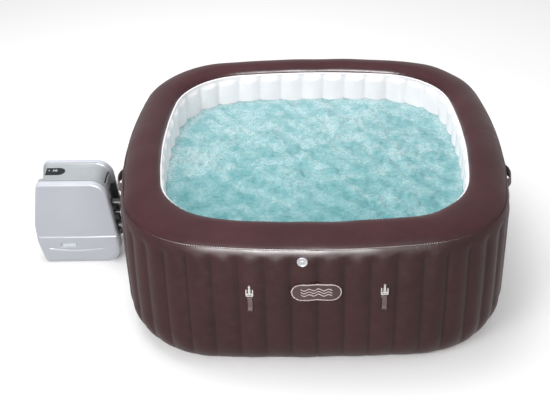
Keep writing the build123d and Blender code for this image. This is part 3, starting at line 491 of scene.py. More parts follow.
def printed_badge(name, length, height):
    """Brown PVC patch with a printed pill outline and three wave lines; its UV is metres from the middle

    Outline: the points 5 mm inside the pill's edge. Wave: y = level + 5.2 mm * sin(2 pi x / 46 mm).
    """
    material, tree = new_material(name)
    coords = add(tree, "ShaderNodeTexCoord")
    split = add(tree, "ShaderNodeSeparateXYZ", {"Vector": coords.outputs["UV"]})
    x, y = split.outputs["X"], split.outputs["Y"]
    straight = length / 2 - height / 2
    size = add(tree, "ShaderNodeMath", {0: x}, operation="ABSOLUTE")
    beyond = add(tree, "ShaderNodeMath", {0: size, 1: straight}, operation="SUBTRACT")
    past = add(tree, "ShaderNodeMath", {0: beyond, 1: 0.0}, operation="MAXIMUM")
    y_squared = add(tree, "ShaderNodeMath", {0: y, 1: y}, operation="MULTIPLY")
    squared = add(tree, "ShaderNodeMath", {0: past, 1: past, 2: y_squared}, operation="MULTIPLY_ADD")
    reach = add(tree, "ShaderNodeMath", {0: squared}, operation="SQRT")
    from_line = add(tree, "ShaderNodeMath", {0: reach, 1: height / 2 - 0.0050}, operation="SUBTRACT")
    gap = add(tree, "ShaderNodeMath", {0: from_line}, operation="ABSOLUTE")
    ink = add(tree, "ShaderNodeMath", {0: gap, 1: 0.0024}, operation="LESS_THAN")

    turn = add(tree, "ShaderNodeMath", {0: x, 1: 2 * np.pi / 0.046}, operation="MULTIPLY")
    sine = add(tree, "ShaderNodeMath", {0: turn}, operation="SINE")
    within = add(tree, "ShaderNodeMath", {0: size, 1: 0.074}, operation="LESS_THAN")
    for level in (-0.016, 0.0, 0.016):
        wave = add(tree, "ShaderNodeMath", {0: sine, 1: 0.0052, 2: level}, operation="MULTIPLY_ADD")
        from_wave = add(tree, "ShaderNodeMath", {0: y, 1: wave}, operation="SUBTRACT")
        gap = add(tree, "ShaderNodeMath", {0: from_wave}, operation="ABSOLUTE")
        line = add(tree, "ShaderNodeMath", {0: gap, 1: 0.0026}, operation="LESS_THAN")
        cut_line = add(tree, "ShaderNodeMath", {0: line, 1: within}, operation="MULTIPLY")
        ink = add(tree, "ShaderNodeMath", {0: ink, 1: cut_line}, operation="MAXIMUM")

    drift = add(tree, "ShaderNodeTexNoise",
                {"Vector": coords.outputs["Object"], "Scale": blotch(60), "Detail": 4.0})
    cloth = add(tree, "ShaderNodeValToRGB", {"Fac": drift}, stops=[(0.3, "#483130"), (0.7, "#56403F")])
    colour = add(tree, "ShaderNodeMix", {0: ink, 6: cloth, 7: linear("#D9C6C4")}, data_type="RGBA")
    bump = add(tree, "ShaderNodeBump", {"Height": ink, "Strength": 0.3, "Distance": 0.0003})
    shader = add(tree, "ShaderNodeBsdfPrincipled",
                 {"Base Color": colour.outputs[2], "Roughness": 0.42, "Normal": bump})
    add(tree, "ShaderNodeOutputMaterial", {"Surface": shader})
    return material


def make_materials():
    """Every finish of the tub and its pump unit, named for the real one, with what it gives the eye"""
    return {
        # satin vinyl, stretched over the air: slow soft highlights, slightly redder on top
        "wall": laminated_pvc("laminated_pvc_brown", "#472728", "#3A1F20", 0.36, 0.10),
        "rim": laminated_pvc("laminated_pvc_rim_brown", "#462529", "#3A1E22", 0.35, 0.10),
        # glossy white liner vinyl, a duller one underfoot, and the matt sheet and webs that nobody sees
        "liner": laminated_pvc("laminated_pvc_white", "#FBF4F5", "#F2ECEE", 0.24, 0.10, 0.12),
        "floor": laminated_pvc("laminated_pvc_floor_white", "#E9EDEF", "#D5DEE2", 0.35, 0.2, 0.3),
        "sheet": laminated_pvc("laminated_pvc_ground_sheet", "#3B3434", "#2A2424", 0.6, 0.15),
        "web": laminated_pvc("laminated_pvc_web", "#D9D9DC", "#C7C7CB", 0.5, 0.1),
        # teal water, churned by air
        "water": churned_water("aerated_water"),
        # ribbed cloth with a faint sheen
        "strap": webbing("polyester_webbing_brown", "#5A3E42", "#3E2A2D"),
        "tail": webbing("polyester_webbing_mauve", "#63393F", "#4A262D"),
        # pale ink that sits on a brown patch
        "badge": printed_badge("printed_pvc_patch", BADGE_LENGTH, 0.100),
        # ABS moulded with a fine spark grain, a thin gloss over it and a trace of lavender in the light one
        "shell": moulded("abs_light_grey", "#C8CAD3", "#BEC1CA", 0.36, 1.6, 0.10, 240.0, 0.12),
        "deck": moulded("abs_mid_grey", "#A7ACAF", "#999EA1", 0.34, 1.6, 0.10, 120.0, 0.10),
        "dark": moulded("abs_dark_grey", "#3A403F", "#2C3231", 0.42, 1.6, 0.18, 90.0),
        "cap": moulded("abs_pale_cap", "#D3D3D7", "#C5C6CB", 0.33, 1.8, 0.12, 20.0, 0.1),
        # painted shade: a near-black finish for the inside of the grip slot, dark only because it lies in
        # shadow
        "shadow": moulded("painted_recess_shade", "#2B2E2F", "#1D2021", 0.6, 1.5, 0.1, 20.0),
        # polished polycarbonate: smooth and black
        "window": moulded("polycarbonate_black", "#1B2123", "#121617", 0.32, 2.4, 0.03, 70.0, ior=1.40),
        # waxy moulded polypropylene, half matt
        "black": moulded("polypropylene_black", "#1F2020", "#121313", 0.46, 2.0, 0.25, 50.0),
        "white": moulded("polypropylene_white", "#E6E6E3", "#D8D8D5", 0.38, 2.0, 0.15, 40.0),
        "grey": moulded("polypropylene_grey", "#B9BABF", "#A8A9AE", 0.42, 2.0, 0.18, 45.0),
        # acetal: slick, warm white
        "buckle": moulded("acetal_white", "#E9E4E2", "#D9D3D1", 0.34, 1.8, 0.12, 14.0),
        # dull, dusty rubber
        "rubber": moulded("moulded_rubber", "#252525", "#181818", 0.78, 1.5, 0.4, 30.0, ior=1.52),
        # drawn stainless steel: grey mirror, a little blurred
        "steel": moulded("stainless_steel", "#B9BCBE", "#A3A6A8", 0.28, 1.2, 0.2, 25.0, metallic=1.0),
        # lacquered circuit board
        "board": moulded("solder_mask_green", "#1F5A3B", "#174730", 0.35, 3.0, 0.3, 12.0),
        # fluffy filter fleece
        "fleece": moulded("filter_fleece", "#EEEDE6", "#D8D7CE", 0.85, 2.5, 0.8, 9.0),
        # milky flexible hose
        "hose": moulded("flexible_pvc_hose", "#C9CDCF", "#B7BBBE", 0.4, 3.0, 0.2, 30.0),
        # flat white ink
        "mark": moulded("printed_white_ink", "#E6ECEE", "#D6DDE0", 0.5, 1.5, 0.05, 10.0),
    }


MATERIAL = make_materials()


def dress(obj, finish, body=None, stands_for=()):
    """Give a piece its finish, the body that it rides on and the CAD nodes that it stands for"""
    obj.data.materials.clear()
    obj.data.materials.append(MATERIAL[finish])
    if body:
        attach(obj, body)
    if stands_for:
        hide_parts(*stands_for)
    return obj


# ------------------------------------------------------------------ the inflated wall

def make_outer_wall():
    """Fluted skin of the wall

    Point = wall point + normal * depth * (|sin(pi * count)|^0.75 - 0.72): sharp at each weld, full between
    two welds. The flutes fade out over the shoulder and at the foot, and are slack by 1.4 mm of slow waves.
    """
    steps = 10
    count = np.arange(QUARTER_FLUTES * 4 * steps) / steps
    foot = BASE_ROUND_HEIGHT * (1 - np.cos(np.radians(np.linspace(14, 90, 24))))
    upright = np.linspace(BASE_ROUND_HEIGHT, SHOULDER_HEIGHT, 22)[1:]
    shoulder = np.linspace(SHOULDER_HEIGHT, SEAM_HEIGHT, 22)[1:]
    height = np.concatenate([foot, upright, shoulder])
    height_grid, count_grid = np.meshgrid(height, count, indexing="ij")
    length = flute_length(count_grid)
    crown = 0.006 * np.abs(np.sin(np.pi * count_grid))
    fade = 1 - smooth_step(SHOULDER_HEIGHT, 0.694, height_grid - crown)
    fade = fade * (0.12 + 0.88 * smooth_step(0.01, 0.15, height_grid)) * (1 - 0.25 * corner_share(length))
    bulge = flute_bulge(count_grid)
    slack = 0.0014 * waves(length, height_grid * 0.6, 0.30, 7, 3)
    tuck = 0.0012 * np.sin(length * 2 * np.pi / 0.031)
    tuck = tuck * smooth_step(0.0, 1.0, waves(length, 0 * length, 0.6, 5, 8))
    tuck = tuck * smooth_step(0.685, SEAM_HEIGHT, height_grid)
    points, _ = wall_point(length, height_grid, FLUTE_DEPTH * bulge * fade + slack + tuck)
    wall = grid_object("fluted_wall", points, closed_columns=True)
    # how near a point is to a weld, read by the vinyl to paint shade into the crease
    away = np.abs(count_grid - np.round(count_grid)) * FLUTE_PITCH
    store(wall, "weld", np.exp(-(away / 0.007) ** 2) * fade)
    thicken(wall, SKIN)
    return dress(wall, "wall", "tub", ["outer_wall"])


def rim_surface(length, sweep):
    """Point of the rolled rim: sweep 0 is the weld seam, 1 the crest and 2 the lip

    Both halves are quarter ellipses, the outer one from the widest height and the inner one to the lip.
    """
    start = np.arcsin((SEAM_HEIGHT - WIDEST_HEIGHT) / (TUB_HEIGHT - WIDEST_HEIGHT))
    outer_angle = start + (np.pi / 2 - start) * np.clip(sweep, 0, 1)
    inner_angle = np.pi / 2 * np.clip(sweep - 1, 0, 1)
    outer_inset = CREST_INSET * (1 - np.cos(outer_angle))
    outer_height = WIDEST_HEIGHT + (TUB_HEIGHT - WIDEST_HEIGHT) * np.sin(outer_angle)
    inner_inset = CREST_INSET + (LIP_INSET - CREST_INSET) * np.sin(inner_angle)
    inner_height = LIP_HEIGHT + (TUB_HEIGHT - LIP_HEIGHT) * np.cos(inner_angle)
    inset = np.where(sweep <= 1, outer_inset, inner_inset)
    height = np.where(sweep <= 1, outer_height, inner_height)
    out = np.where(sweep <= 1, np.cos(outer_angle) * (TUB_HEIGHT - WIDEST_HEIGHT),
                   -np.sin(inner_angle) * (TUB_HEIGHT - LIP_HEIGHT))
    up = np.where(sweep <= 1, np.sin(outer_angle) * CREST_INSET,
                  np.cos(inner_angle) * (LIP_INSET - CREST_INSET))
    size = np.hypot(out, up)
    outline = rim_outline(inset)
    share = length / TOP_OUTLINE.quarter
    point, normal = outline.at(share_to_length(outline, share))
    return point, height, normal, out / size, up / size


def settle_front(points):
    """Let the rim's front side sag under its own slack

    z -= FRONT_SAG * smooth(-y) * share of the height between seam and crest.
    """
    front = smooth_step(0.15, 0.75, -points[..., 1])
    share = np.clip((points[..., 2] - SEAM_HEIGHT) / (TUB_HEIGHT - SEAM_HEIGHT), 0, 1)
    points[..., 2] -= FRONT_SAG * front * share
    return points


def share_to_length(outline, share):
    """Length on an outline that is as far along its own side or corner as the share is on the top one"""
    top_side, top_corner = TOP_OUTLINE.side_half, TOP_OUTLINE.corner_length
    length = share * TOP_OUTLINE.quarter
    number = np.floor((length + top_side) / TOP_OUTLINE.quarter)
    along = length - number * TOP_OUTLINE.quarter
    on_side = along <= top_side
    side = along / top_side * outline.side_half
    corner = outline.side_half + (along - top_side) / top_corner * outline.corner_length
    return number * outline.quarter + np.where(on_side, side, corner)


def make_rim():
    """Rolled rim panel with slow slack waves, small tucks along its weld and at the lip of each corner"""
    columns = 720
    length = np.arange(columns) / columns * 4 * TOP_OUTLINE.quarter
    by_seam, to_crest = np.linspace(0, 0.25, 10)[:-1], np.linspace(0.25, 1, 16)[:-1]
    sweep = np.concatenate([by_seam, to_crest, np.linspace(1, 2, 18)])
    sweep_grid, length_grid = np.meshgrid(sweep, length, indexing="ij")
    point, height, normal, out, up = rim_surface(length_grid, sweep_grid)
    slack = 0.0016 * waves(length_grid, sweep_grid * 0.12, 0.34, 7, 11)
    corner = corner_share(length_grid)
    tuck = np.sin(length_grid * 2 * np.pi / 0.0205 + 1.4 * np.sin(length_grid * 9)) * (0.25 + 0.75 * corner)
    tuck = tuck * (0.5 + 0.5 * waves(length_grid, 0 * length_grid, 0.13, 5, 21))
    tuck = -0.0052 * np.clip(tuck, -0.3, 1.0) * np.exp(-((sweep_grid - 0.06) / 0.09) ** 2)
    lip_tuck = np.sin(length_grid * 2 * np.pi / 0.043) * corner * smooth_step(1.35, 2.0, sweep_grid) * 0.0010
    push = slack + tuck + lip_tuck
    flat = point + normal * (out * push)[..., None]
    points = settle_front(np.concatenate([flat, (height + up * push)[..., None]], -1))
    rim = grid_object("rim_panel", points, closed_columns=True)
    thicken(rim, SKIN)
    return dress(rim, "rim", "tub", ["top_panel"])


def corner_share(length):
    """1 in the middle of each corner of the tub, 0 on the sides"""
    quarter = TOP_OUTLINE.quarter
    along = np.mod(length, quarter) / quarter
    return np.exp(-((along - 0.5) / 0.14) ** 2)


def make_weld_band():
    """Heat-welded band over the seam: a low flat ribbon with a pressed edge and close tucks"""
    columns = 2200
    length = np.arange(columns) / columns * 4 * TOP_OUTLINE.quarter
    across = np.linspace(-1, 1, 9)
    across_grid, length_grid = np.meshgrid(across, length, indexing="ij")
    height = SEAM_HEIGHT + 0.0045 * across_grid
    swell = 0.0014 * (1 - across_grid ** 4)
    corner = corner_share(length_grid)
    tuck = np.sin(length_grid * 2 * np.pi / 0.0115 + 2.1 * np.sin(length_grid * 17))
    tuck = 0.0026 * tuck * (0.3 + 0.7 * corner) * (1 - 0.6 * across_grid ** 2)
    points, _ = wall_point(length_grid, height, 0.0002 + swell + tuck)
    band = grid_object("weld_band", points, closed_columns=True)
    # painted shade in the hollows of the tucks, strongest at the corners, read by the vinyl to darken them
    store(band, "weld", np.clip(-tuck / 0.0010, 0, 1.6) * (0.2 + 0.8 * corner))
    thicken(band, 0.0015)
    return dress(band, "rim", "tub", ["top_seam"])


def inner_radius_point(length, height, push):
    """Point of the inner wall at a length along the lip's outline, pushed towards the pool"""
    point, normal = LIP_OUTLINE.at(length)
    flat = point - normal * np.asarray(push)[..., None]
    return np.concatenate([flat, np.broadcast_to(height, flat.shape[:-1])[..., None]], -1)


def inner_bulge(length):
    """Flutes of the inner wall: |sin|^0.7 of the length in flutes, 0 at each weld"""
    count = length / LIP_OUTLINE.quarter * INNER_FLUTES
    return np.abs(np.sin(np.pi * (count + 0.5))) ** 0.7


def make_inner_wall():
    """White liner: flutes that swell towards the pool and flatten out just under the lip"""
    columns = 4 * INNER_FLUTES * 12
    length = np.arange(columns) / columns * 4 * LIP_OUTLINE.quarter
    seen_from = 0.50
    unseen, seen = np.linspace(FLOOR_TOP, seen_from, 10)[:-1], np.linspace(seen_from, LIP_HEIGHT - 0.001, 26)
    height = np.concatenate([unseen, seen])
    height_grid, length_grid = np.meshgrid(height, length, indexing="ij")
    fade = 1 - smooth_step(LIP_HEIGHT - 0.045, LIP_HEIGHT - 0.004, height_grid)
    fade = fade * smooth_step(FLOOR_TOP, FLOOR_TOP + 0.06, height_grid)
    for jet in JET_LENGTHS:
        away = np.hypot(length_grid - jet, height_grid - JET_HEIGHT)
        fade = fade * smooth_step(0.036, 0.075, away)
    slack = 0.0010 * waves(length_grid, height_grid, 0.18, 6, 5)
    push = INNER_FLUTE_DEPTH * inner_bulge(length_grid) * fade - 0.001 + slack * fade
    points = settle_front(inner_radius_point(length_grid, height_grid, push))
    wall = grid_object("pool_liner", points, closed_columns=True, flip=True)
    thicken(wall, 0.0015)
    return dress(wall, "liner", "tub", ["inner_wall"])


def make_lip_piping():
    """Round white piping welded along the lip, a 10 mm bead that half sinks between rim and liner"""
    columns = 720
    length = np.arange(columns) / columns * 4 * LIP_OUTLINE.quarter
    angle = np.linspace(0, 2 * np.pi, 12, endpoint=False)
    angle_grid, length_grid = np.meshgrid(angle, length, indexing="ij")
    radius = 0.0050
    point, normal = LIP_OUTLINE.at(length_grid)
    flat = point + normal * (radius * np.cos(angle_grid) - 0.0030)[..., None]
    height = LIP_HEIGHT - 0.0035 + radius * np.sin(angle_grid)
    points = settle_front(np.concatenate([flat, height[..., None]], -1))
    piping = tidy_mesh(grid_object("lip_piping", points, closed_columns=True, closed_rows=True))
    return dress(piping, "liner", "tub")


def make_water():
    """Churned water surface on a slab

    The grid is shrunk copies of the liner's outline: point = share * outline(length). The surface height
    is the sum of sine waves of 240, 95 and 42 mm, larger over the jets, and one number per point is stored
    for the froth and for painted shade that darkens the front.
    """
    columns = 520
    rows = 130
    length = np.arange(columns) / columns * 4 * LIP_OUTLINE.quarter
    push = INNER_FLUTE_DEPTH * inner_bulge(length) - 0.0015
    edge = inner_radius_point(length, 0.0, push)[:, :2]
    share = np.linspace(0.004, 1, rows) ** 0.85
    plan = share[:, None, None] * edge[None]
    x, y = plan[..., 0], plan[..., 1]
    jets = foam_spots(x, y)
    height = 0.0055 * waves(x, y, 0.24, 9, 31) + 0.0042 * waves(x, y, 0.095, 11, 32)
    height += 0.0026 * waves(x, y, 0.042, 13, 33) * (0.55 + 0.9 * jets)
    height += 0.018 * jets * np.abs(waves(x, y, 0.07, 9, 34))
    height = height * (1 - 0.55 * smooth_step(0.93, 1.0, share)[:, None])
    rim_foam = smooth_step(0.90, 0.99, share)[:, None] * (0.55 + 0.35 * waves(x, y, 0.16, 5, 35))
    streaks = np.clip(0.5 + 0.5 * waves(x, y * 0.7, 0.11, 8, 36), 0, 1)
    # painted shade: the 0.22 * y / LIP_HALF term makes the water darker towards the front and lighter towards
    # the back
    foam_and_shade = np.clip(0.16 + 0.36 * streaks + 0.62 * jets + 0.5 * rim_foam + 0.22 * y / LIP_HALF, 0, 1.2)
    top = np.concatenate([plan, (WATER_LEVEL + height)[..., None]], -1)
    low = top[-1:].copy()
    low[..., 2] = WATER_LEVEL - 0.03
    middle = low * np.array([0.004, 0.004, 1.0])
    ring = np.concatenate([top, low, middle])
    obj = grid_object("pool_water", ring, closed_columns=True)
    store(obj, "foam_and_shade", np.concatenate([foam_and_shade, foam_and_shade[-1:], foam_and_shade[:1]]))
    close_hole(obj)
    return dress(obj, "water", "tub")


def close_hole(obj):
    """Fill every open ring of a mesh with one face and turn the faces outwards"""
    work = bmesh.new()
    work.from_mesh(obj.data)
    rims = [edge for edge in work.edges if edge.is_boundary]
    bmesh.ops.holes_fill(work, edges=rims, sides=0)
    bmesh.ops.recalc_face_normals(work, faces=work.faces)
    work.to_mesh(obj.data)
    work.free()


def foam_spots(x, y):
    """Where air breaks the surface: soft spots of x, y, size and strength, the strongest at the left"""
    total = np.zeros(x.shape)
    spots = [(-0.63, 0.06, 0.15, 1.1), (-0.42, 0.42, 0.20, 0.6), (0.10, 0.40, 0.22, 0.55),
             (0.52, 0.10, 0.20, 0.45), (0.45, -0.38, 0.18, 0.4), (-0.10, -0.10, 0.26, 0.35),
             (0.30, 0.62, 0.16, 0.4), (-0.25, -0.52, 0.2, 0.25)]
    for spot_x, spot_y, size, strength in spots:
        total += strength * np.exp(-((x - spot_x) ** 2 + (y - spot_y) ** 2) / size ** 2)
    return total


# ------------------------------------------------------------------ fittings on the wall

def side_length(side, along):
    """Length along the top outline of a place on a side: 0 is +X, 1 is +Y, 2 is -X, 3 is -Y"""
    return side * TOP_OUTLINE.quarter + along


def wall_patch(name, side, along, height, width, tall, proud, shape, columns=48, rows=24, thickness=0.0015):
    """Thin sheet that follows a third of the wall's flutes; shape(row) gives its half width as a share

    UV is in metres from the middle of the sheet.
    """
    down = np.linspace(-1, 1, rows)
    across = np.linspace(-1, 1, columns)
    down_grid, across_grid = np.meshgrid(down, across, indexing="ij")
    shift = across_grid * shape(down_grid) * width / 2
    level = height + down_grid * tall / 2
    follow = 0.35 * FLUTE_DEPTH * flute_bulge((along + shift) / FLUTE_PITCH)
    points, _ = wall_point(side_length(side, along) + shift, level, proud + follow)
    uv = np.stack([shift, down_grid * tall / 2], -1)
    patch = grid_object(name, points, uv=uv)
    thicken(patch, thickness)
    return patch


def make_badge():
    """Blank pill-shaped patch with its printed outline and waves"""
    low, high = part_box("badge")
    length, tall = BADGE_LENGTH, high[2] - low[2]
    radius = tall / 2

    def pill(row):
        straight = length / 2 - radius
        return (straight + radius * np.sqrt(np.clip(1 - row ** 2, 0, 1))) / (length / 2)

    along, height = (low[0] + high[0]) / 2, (low[2] + high[2]) / 2
    patch = wall_patch("name_patch", 3, along, height, length, tall, 0.0056, pill, columns=64, rows=40)
    return dress(patch, "badge", "tub", ["badge"])


BUCKLE_ALONG = 0.318
BUCKLES = {"front_left": (3, -BUCKLE_ALONG), "front_right": (3, BUCKLE_ALONG),
           "back_left": (1, BUCKLE_ALONG), "back_right": (1, -BUCKLE_ALONG)}


def make_buckle_straps():
    """A webbing tail under each buckle on a welded patch, its free end a little lifted

    The tail stands 7.4 mm off the wall, + 2 mm * sin(pi * row) and + 5 mm over its last third.
    """
    low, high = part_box("buckle_straps")
    top, bottom = high[2], low[2]
    tail_top = top - 0.004
    row_grid, across_grid = np.meshgrid(np.linspace(0, 1, 26), np.linspace(-1, 1, 9), indexing="ij")
    level = tail_top + (bottom - tail_top) * row_grid
    lift = 0.0074 + 0.0020 * np.sin(row_grid * np.pi) + 0.005 * smooth_step(0.7, 1.0, row_grid)
    shift = 0.0115 * across_grid + 0.0015 * np.sin(row_grid * 3)
    for name, (side, along) in BUCKLES.items():
        patch = wall_patch(f"{name}_patch", side, along, (top + bottom) / 2 - 0.006, 0.036,
                           top - bottom - 0.004, 0.0036, lambda row: 1 - 0.18 * np.abs(row) ** 6,
                           columns=12, rows=14, thickness=0.0012)
        dress(patch, "rim", "tub")
        points, _ = wall_point(side_length(side, along) + shift, level, lift)
        tail = grid_object(f"{name}_tail", points, flip=True, uv=np.stack([shift, level], -1))
        thicken(tail, 0.0018)
        dress(tail, "tail", "tub")
    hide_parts("buckle_straps")


def make_handles():
    """Grip straps: a ribbon bowed out from the wall between two flat welded ends

    bow = 24 mm * (1 - (t / 0.78)^2)^0.8 over the middle, flat ends beyond; the lower edge stands out a
    little more.
    """
    low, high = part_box("carry_handles")
    middle_y = (low[1] + high[1]) / 2
    height = (low[2] + high[2]) / 2
    half = (high[1] - low[1]) / 2
    made = []
    for name, side, sign in (("left", 2, -1), ("right", 0, 1)):
        t = np.linspace(-1, 1, 60)
        across = np.linspace(-1, 1, 11)
        across_grid, t_grid = np.meshgrid(across, t, indexing="ij")
        bow = 0.024 * np.clip(1 - (t_grid / 0.78) ** 2, 0, 1) ** 0.8
        lift = 0.0045 + bow * (1 - 0.14 * across_grid)
        width = 0.028 * (1 - 0.12 * np.clip(1 - (t_grid / 0.8) ** 2, 0, 1))
        along = sign * middle_y + t_grid * half
        points, _ = wall_point(side_length(side, along), height + width * across_grid, lift)
        uv = np.stack([across_grid * 0.021, t_grid * half], -1)
        strap = grid_object(f"{name}_grip_strap", points, uv=uv)
        thicken(strap, 0.0035)
        made.append(dress(strap, "strap", "tub"))
    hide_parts("carry_handles")
    return made


def make_inflation_cap():
    """Screw cap of the inflation valve: domed disc with a rolled, scalloped edge and a raised centre"""
    joint = next(j for j in frame["joints"] if j["name"] == "inflation_cap_turn")
    profile = [(0.0001, 0.0098), (0.0060, 0.0098), (0.0075, 0.0088), (0.0095, 0.0080), (0.0185, 0.0078),
               (0.0198, 0.0092), (0.0225, 0.0096), (0.0244, 0.0086), (0.0250, 0.0064), (0.0250, 0.0036),
               (0.0238, 0.0034), (0.0120, 0.0034), (0.0120, -0.0100), (0.0001, -0.0100)]
    cap = lathe("valve_cap", profile, joint["pos_m"], joint["axis"], sides=96,
                ripple=0.012, ripples=24, ripple_from=7)
    return dress(cap, "cap", "inflation_cap", ["inflation_cap"])


# ------------------------------------------------------------------ pump unit

PUMP_LOW = 0.004
PUMP_TOP = 0.515
PUMP_CORNERS = np.array([(-1.511, PUMP_LOW), (-1.092, PUMP_LOW), (-1.092, 0.150), (-1.137, PUMP_TOP),
                         (-1.510, PUMP_TOP), (-1.552, 0.250), (-1.548, 0.140)])
PUMP_RADII = np.array([0.026, 0.084, 0.200, 0.097, 0.030, 0.250, 0.090])
DECK_DROP = 0.022               # the deck lies this far inside the covers' outline
PUMP_MIDDLE_X = -1.33
SPLIT_X = -1.30                 # the rear cover starts to the right of this, below the split height
UNDERSIDE = 0.060               # deck and rear cover end above the base
SPLIT_HEIGHT = 0.385


def rounded_polygon():
    """Corner centres, edge normals and tangent half angles of the pump's side view"""
    before = np.roll(PUMP_CORNERS, 1, axis=0)
    after = np.roll(PUMP_CORNERS, -1, axis=0)
    into = PUMP_CORNERS - before
    out = after - PUMP_CORNERS
    into = into / np.linalg.norm(into, axis=1)[:, None]
    out = out / np.linalg.norm(out, axis=1)[:, None]
    normal_in = np.stack([into[:, 1], -into[:, 0]], -1)
    normal_out = np.stack([out[:, 1], -out[:, 0]], -1)
    bisector = normal_in + normal_out
    bisector /= np.linalg.norm(bisector, axis=1)[:, None]
    cosine = np.sum(bisector * normal_in, axis=1)
    centre = PUMP_CORNERS - bisector * (PUMP_RADII / cosine)[:, None]
    return centre, normal_in, normal_out


PUMP_CENTRE, PUMP_IN, PUMP_OUT = rounded_polygon()


def pump_outline(shrink=0.0, samples=24):
    """Closed curve of the pump's side view: an arc of samples points at each rounded corner"""
    first = np.arctan2(PUMP_IN[:, 1], PUMP_IN[:, 0])
    turn = np.mod(np.arctan2(PUMP_OUT[:, 1], PUMP_OUT[:, 0]) - first, 2 * np.pi)
    angle = first[:, None] + turn[:, None] * np.linspace(0, 1, samples)
    radius = PUMP_RADII - shrink
    x = PUMP_CENTRE[:, 0, None] + radius[:, None] * np.cos(angle)
    z = PUMP_CENTRE[:, 1, None] + radius[:, None] * np.sin(angle)
    return np.stack([x.ravel(), z.ravel()], -1)


def even_curve(points, count):
    """Closed curve resampled evenly along its length"""
    closed = np.vstack([points, points[:1]])
    step = np.linalg.norm(np.diff(closed, axis=0), axis=1)
    length = np.concatenate([[0], np.cumsum(step)])
    place = np.arange(count) / count * length[-1]
    return np.stack([np.interp(place, length, closed[:, 0]), np.interp(place, length, closed[:, 1])], -1)


def pump_depth(x, z):
    """Distance inside the pump's side view: to the nearest edge line, or to the arc where a corner faces"""
    gap = np.full(x.shape, 10.0)
    for corner, normal in zip(PUMP_CORNERS, PUMP_OUT):
        gap = np.minimum(gap, (corner[0] - x) * normal[0] + (corner[1] - z) * normal[1])
    for centre, radius, start, end in zip(PUMP_CENTRE, PUMP_RADII, PUMP_IN, PUMP_OUT):
        dx, dz = x - centre[0], z - centre[1]
        past_start = dx * -start[1] + dz * start[0] > 0
        before_end = dx * -end[1] + dz * end[0] < 0
        gap = np.where(past_start & before_end, np.minimum(gap, radius - np.hypot(dx, dz)), gap)
    return np.maximum(gap, 0)


LEDGE_HEIGHT = 0.173
POCKET_X = -1.374
POCKET_HEIGHT = 0.119


def cover_relief(x, z, near):
    """How far the cover's face stands proud: a skirt below the ledge, a curved groove, a plate pocket"""
    skirt = 0.0042 * (1 - smooth_step(LEDGE_HEIGHT - 0.005, LEDGE_HEIGHT + 0.004, z))
    groove_height = 0.084 + 0.625 * (x - PUMP_MIDDLE_X) ** 2
    inside = smooth_step(-1.50, -1.46, x) * (1 - smooth_step(-1.20, -1.16, x))
    groove = -0.0065 * np.exp(-((z - groove_height) / 0.0035) ** 2) * inside
    belly = -0.0015 * (1 - smooth_step(groove_height - 0.004, groove_height, z)) * inside
    relief = skirt + groove + belly
    if near:
        across = np.abs(x - POCKET_X) - 0.041
        up = np.abs(z - POCKET_HEIGHT) - 0.0118
        out = np.maximum(across, up)
        relief = relief - 0.0070 * (1 - smooth_step(-0.0005, 0.0025, out))
    return relief


def make_cover(name, node, near):
    """One side cover: a face laid out in level rows, rounded to its side band with a quarter circle

    face = 4.5 mm behind the CAD face + edge radius - sqrt(edge radius^2 - (edge radius - depth)^2), less a
    low dome and the relief.
    """
    low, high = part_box(node)
    face_y, inner_y = (low[1], high[1]) if near else (high[1], low[1])
    inwards = 1 if near else -1
    ends = 0.5 - 0.5 * np.cos(np.linspace(0, np.pi, 56))
    ledge = np.linspace(LEDGE_HEIGHT - 0.02, LEDGE_HEIGHT + 0.02, 24)
    lower = np.linspace(0.06, LEDGE_HEIGHT - 0.021, 66)
    level = np.unique(np.concatenate([PUMP_LOW + (PUMP_TOP - PUMP_LOW) * ends, ledge, lower]))
    level = np.clip(level, PUMP_LOW + 1e-5, PUMP_TOP - 1e-5)
    outline = even_curve(pump_outline(samples=90), 6000)
    left = outline[outline[:, 0] < PUMP_MIDDLE_X]
    right = outline[outline[:, 0] >= PUMP_MIDDLE_X]
    left = left[np.argsort(left[:, 1])]
    right = right[np.argsort(right[:, 1])]
    left_x = np.interp(level, left[:, 1], left[:, 0])
    right_x = np.interp(level, right[:, 1], right[:, 0])
    swing = 0.5 * np.cos(np.linspace(0, np.pi, 24))
    left_end, right_end = 0.12 * (0.5 - swing), 1 - 0.12 * (0.5 + swing)
    spread = np.concatenate([left_end[:-1], np.linspace(0.12, 0.88, 90)[:-1], right_end])
    x = left_x[:, None] + (right_x - left_x)[:, None] * spread[None]
    z = np.broadcast_to(level[:, None], x.shape)
    depth = pump_depth(x, z)
    edge = 0.005 + 0.011 * smooth_step(0.03, 0.20, z)
    short = np.clip(edge - depth, 0, edge)
    rounding = edge - np.sqrt(np.maximum(edge ** 2 - short ** 2, 0))
    dome = 0.004 * smooth_step(0, 0.22, depth)
    inner = smooth_step(0.004, 0.02, depth)
    y = face_y + inwards * (0.0045 + rounding - dome - cover_relief(x, z, near) * inner)
    face = np.stack([x, y, z], -1)
    rim = np.concatenate([face[0], face[1:, -1], face[-1, -2::-1], face[-2:0:-1, 0]])
    steps = np.array([0, 0.3, 0.6, 0.9, 0.97, 1.0, 1.0])[:, None, None]
    roll = np.array([0, 0, 0, 0, 0.0006, 0.0022, 0.0075])[:, None]
    back = rim.copy()
    back[:, 1] = inner_y
    middle = np.array([PUMP_MIDDLE_X, 0, 0.26])
    towards = (middle - rim) * np.array([1, 0, 1])
    towards /= np.linalg.norm(towards, axis=1)[:, None]
    band = rim[None] * (1 - steps) + back[None] * steps + towards[None] * roll[..., None]
    face_obj = grid_object(f"{name}_face", face, flip=not near)
    band_obj = grid_object(f"{name}_band", band, closed_columns=True, flip=near)
    cover = join(name, [face_obj, band_obj])
    tidy_mesh(cover, 0.00002)
    thicken(cover, 0.003)
    return dress(cover, "shell", "pump", [node])


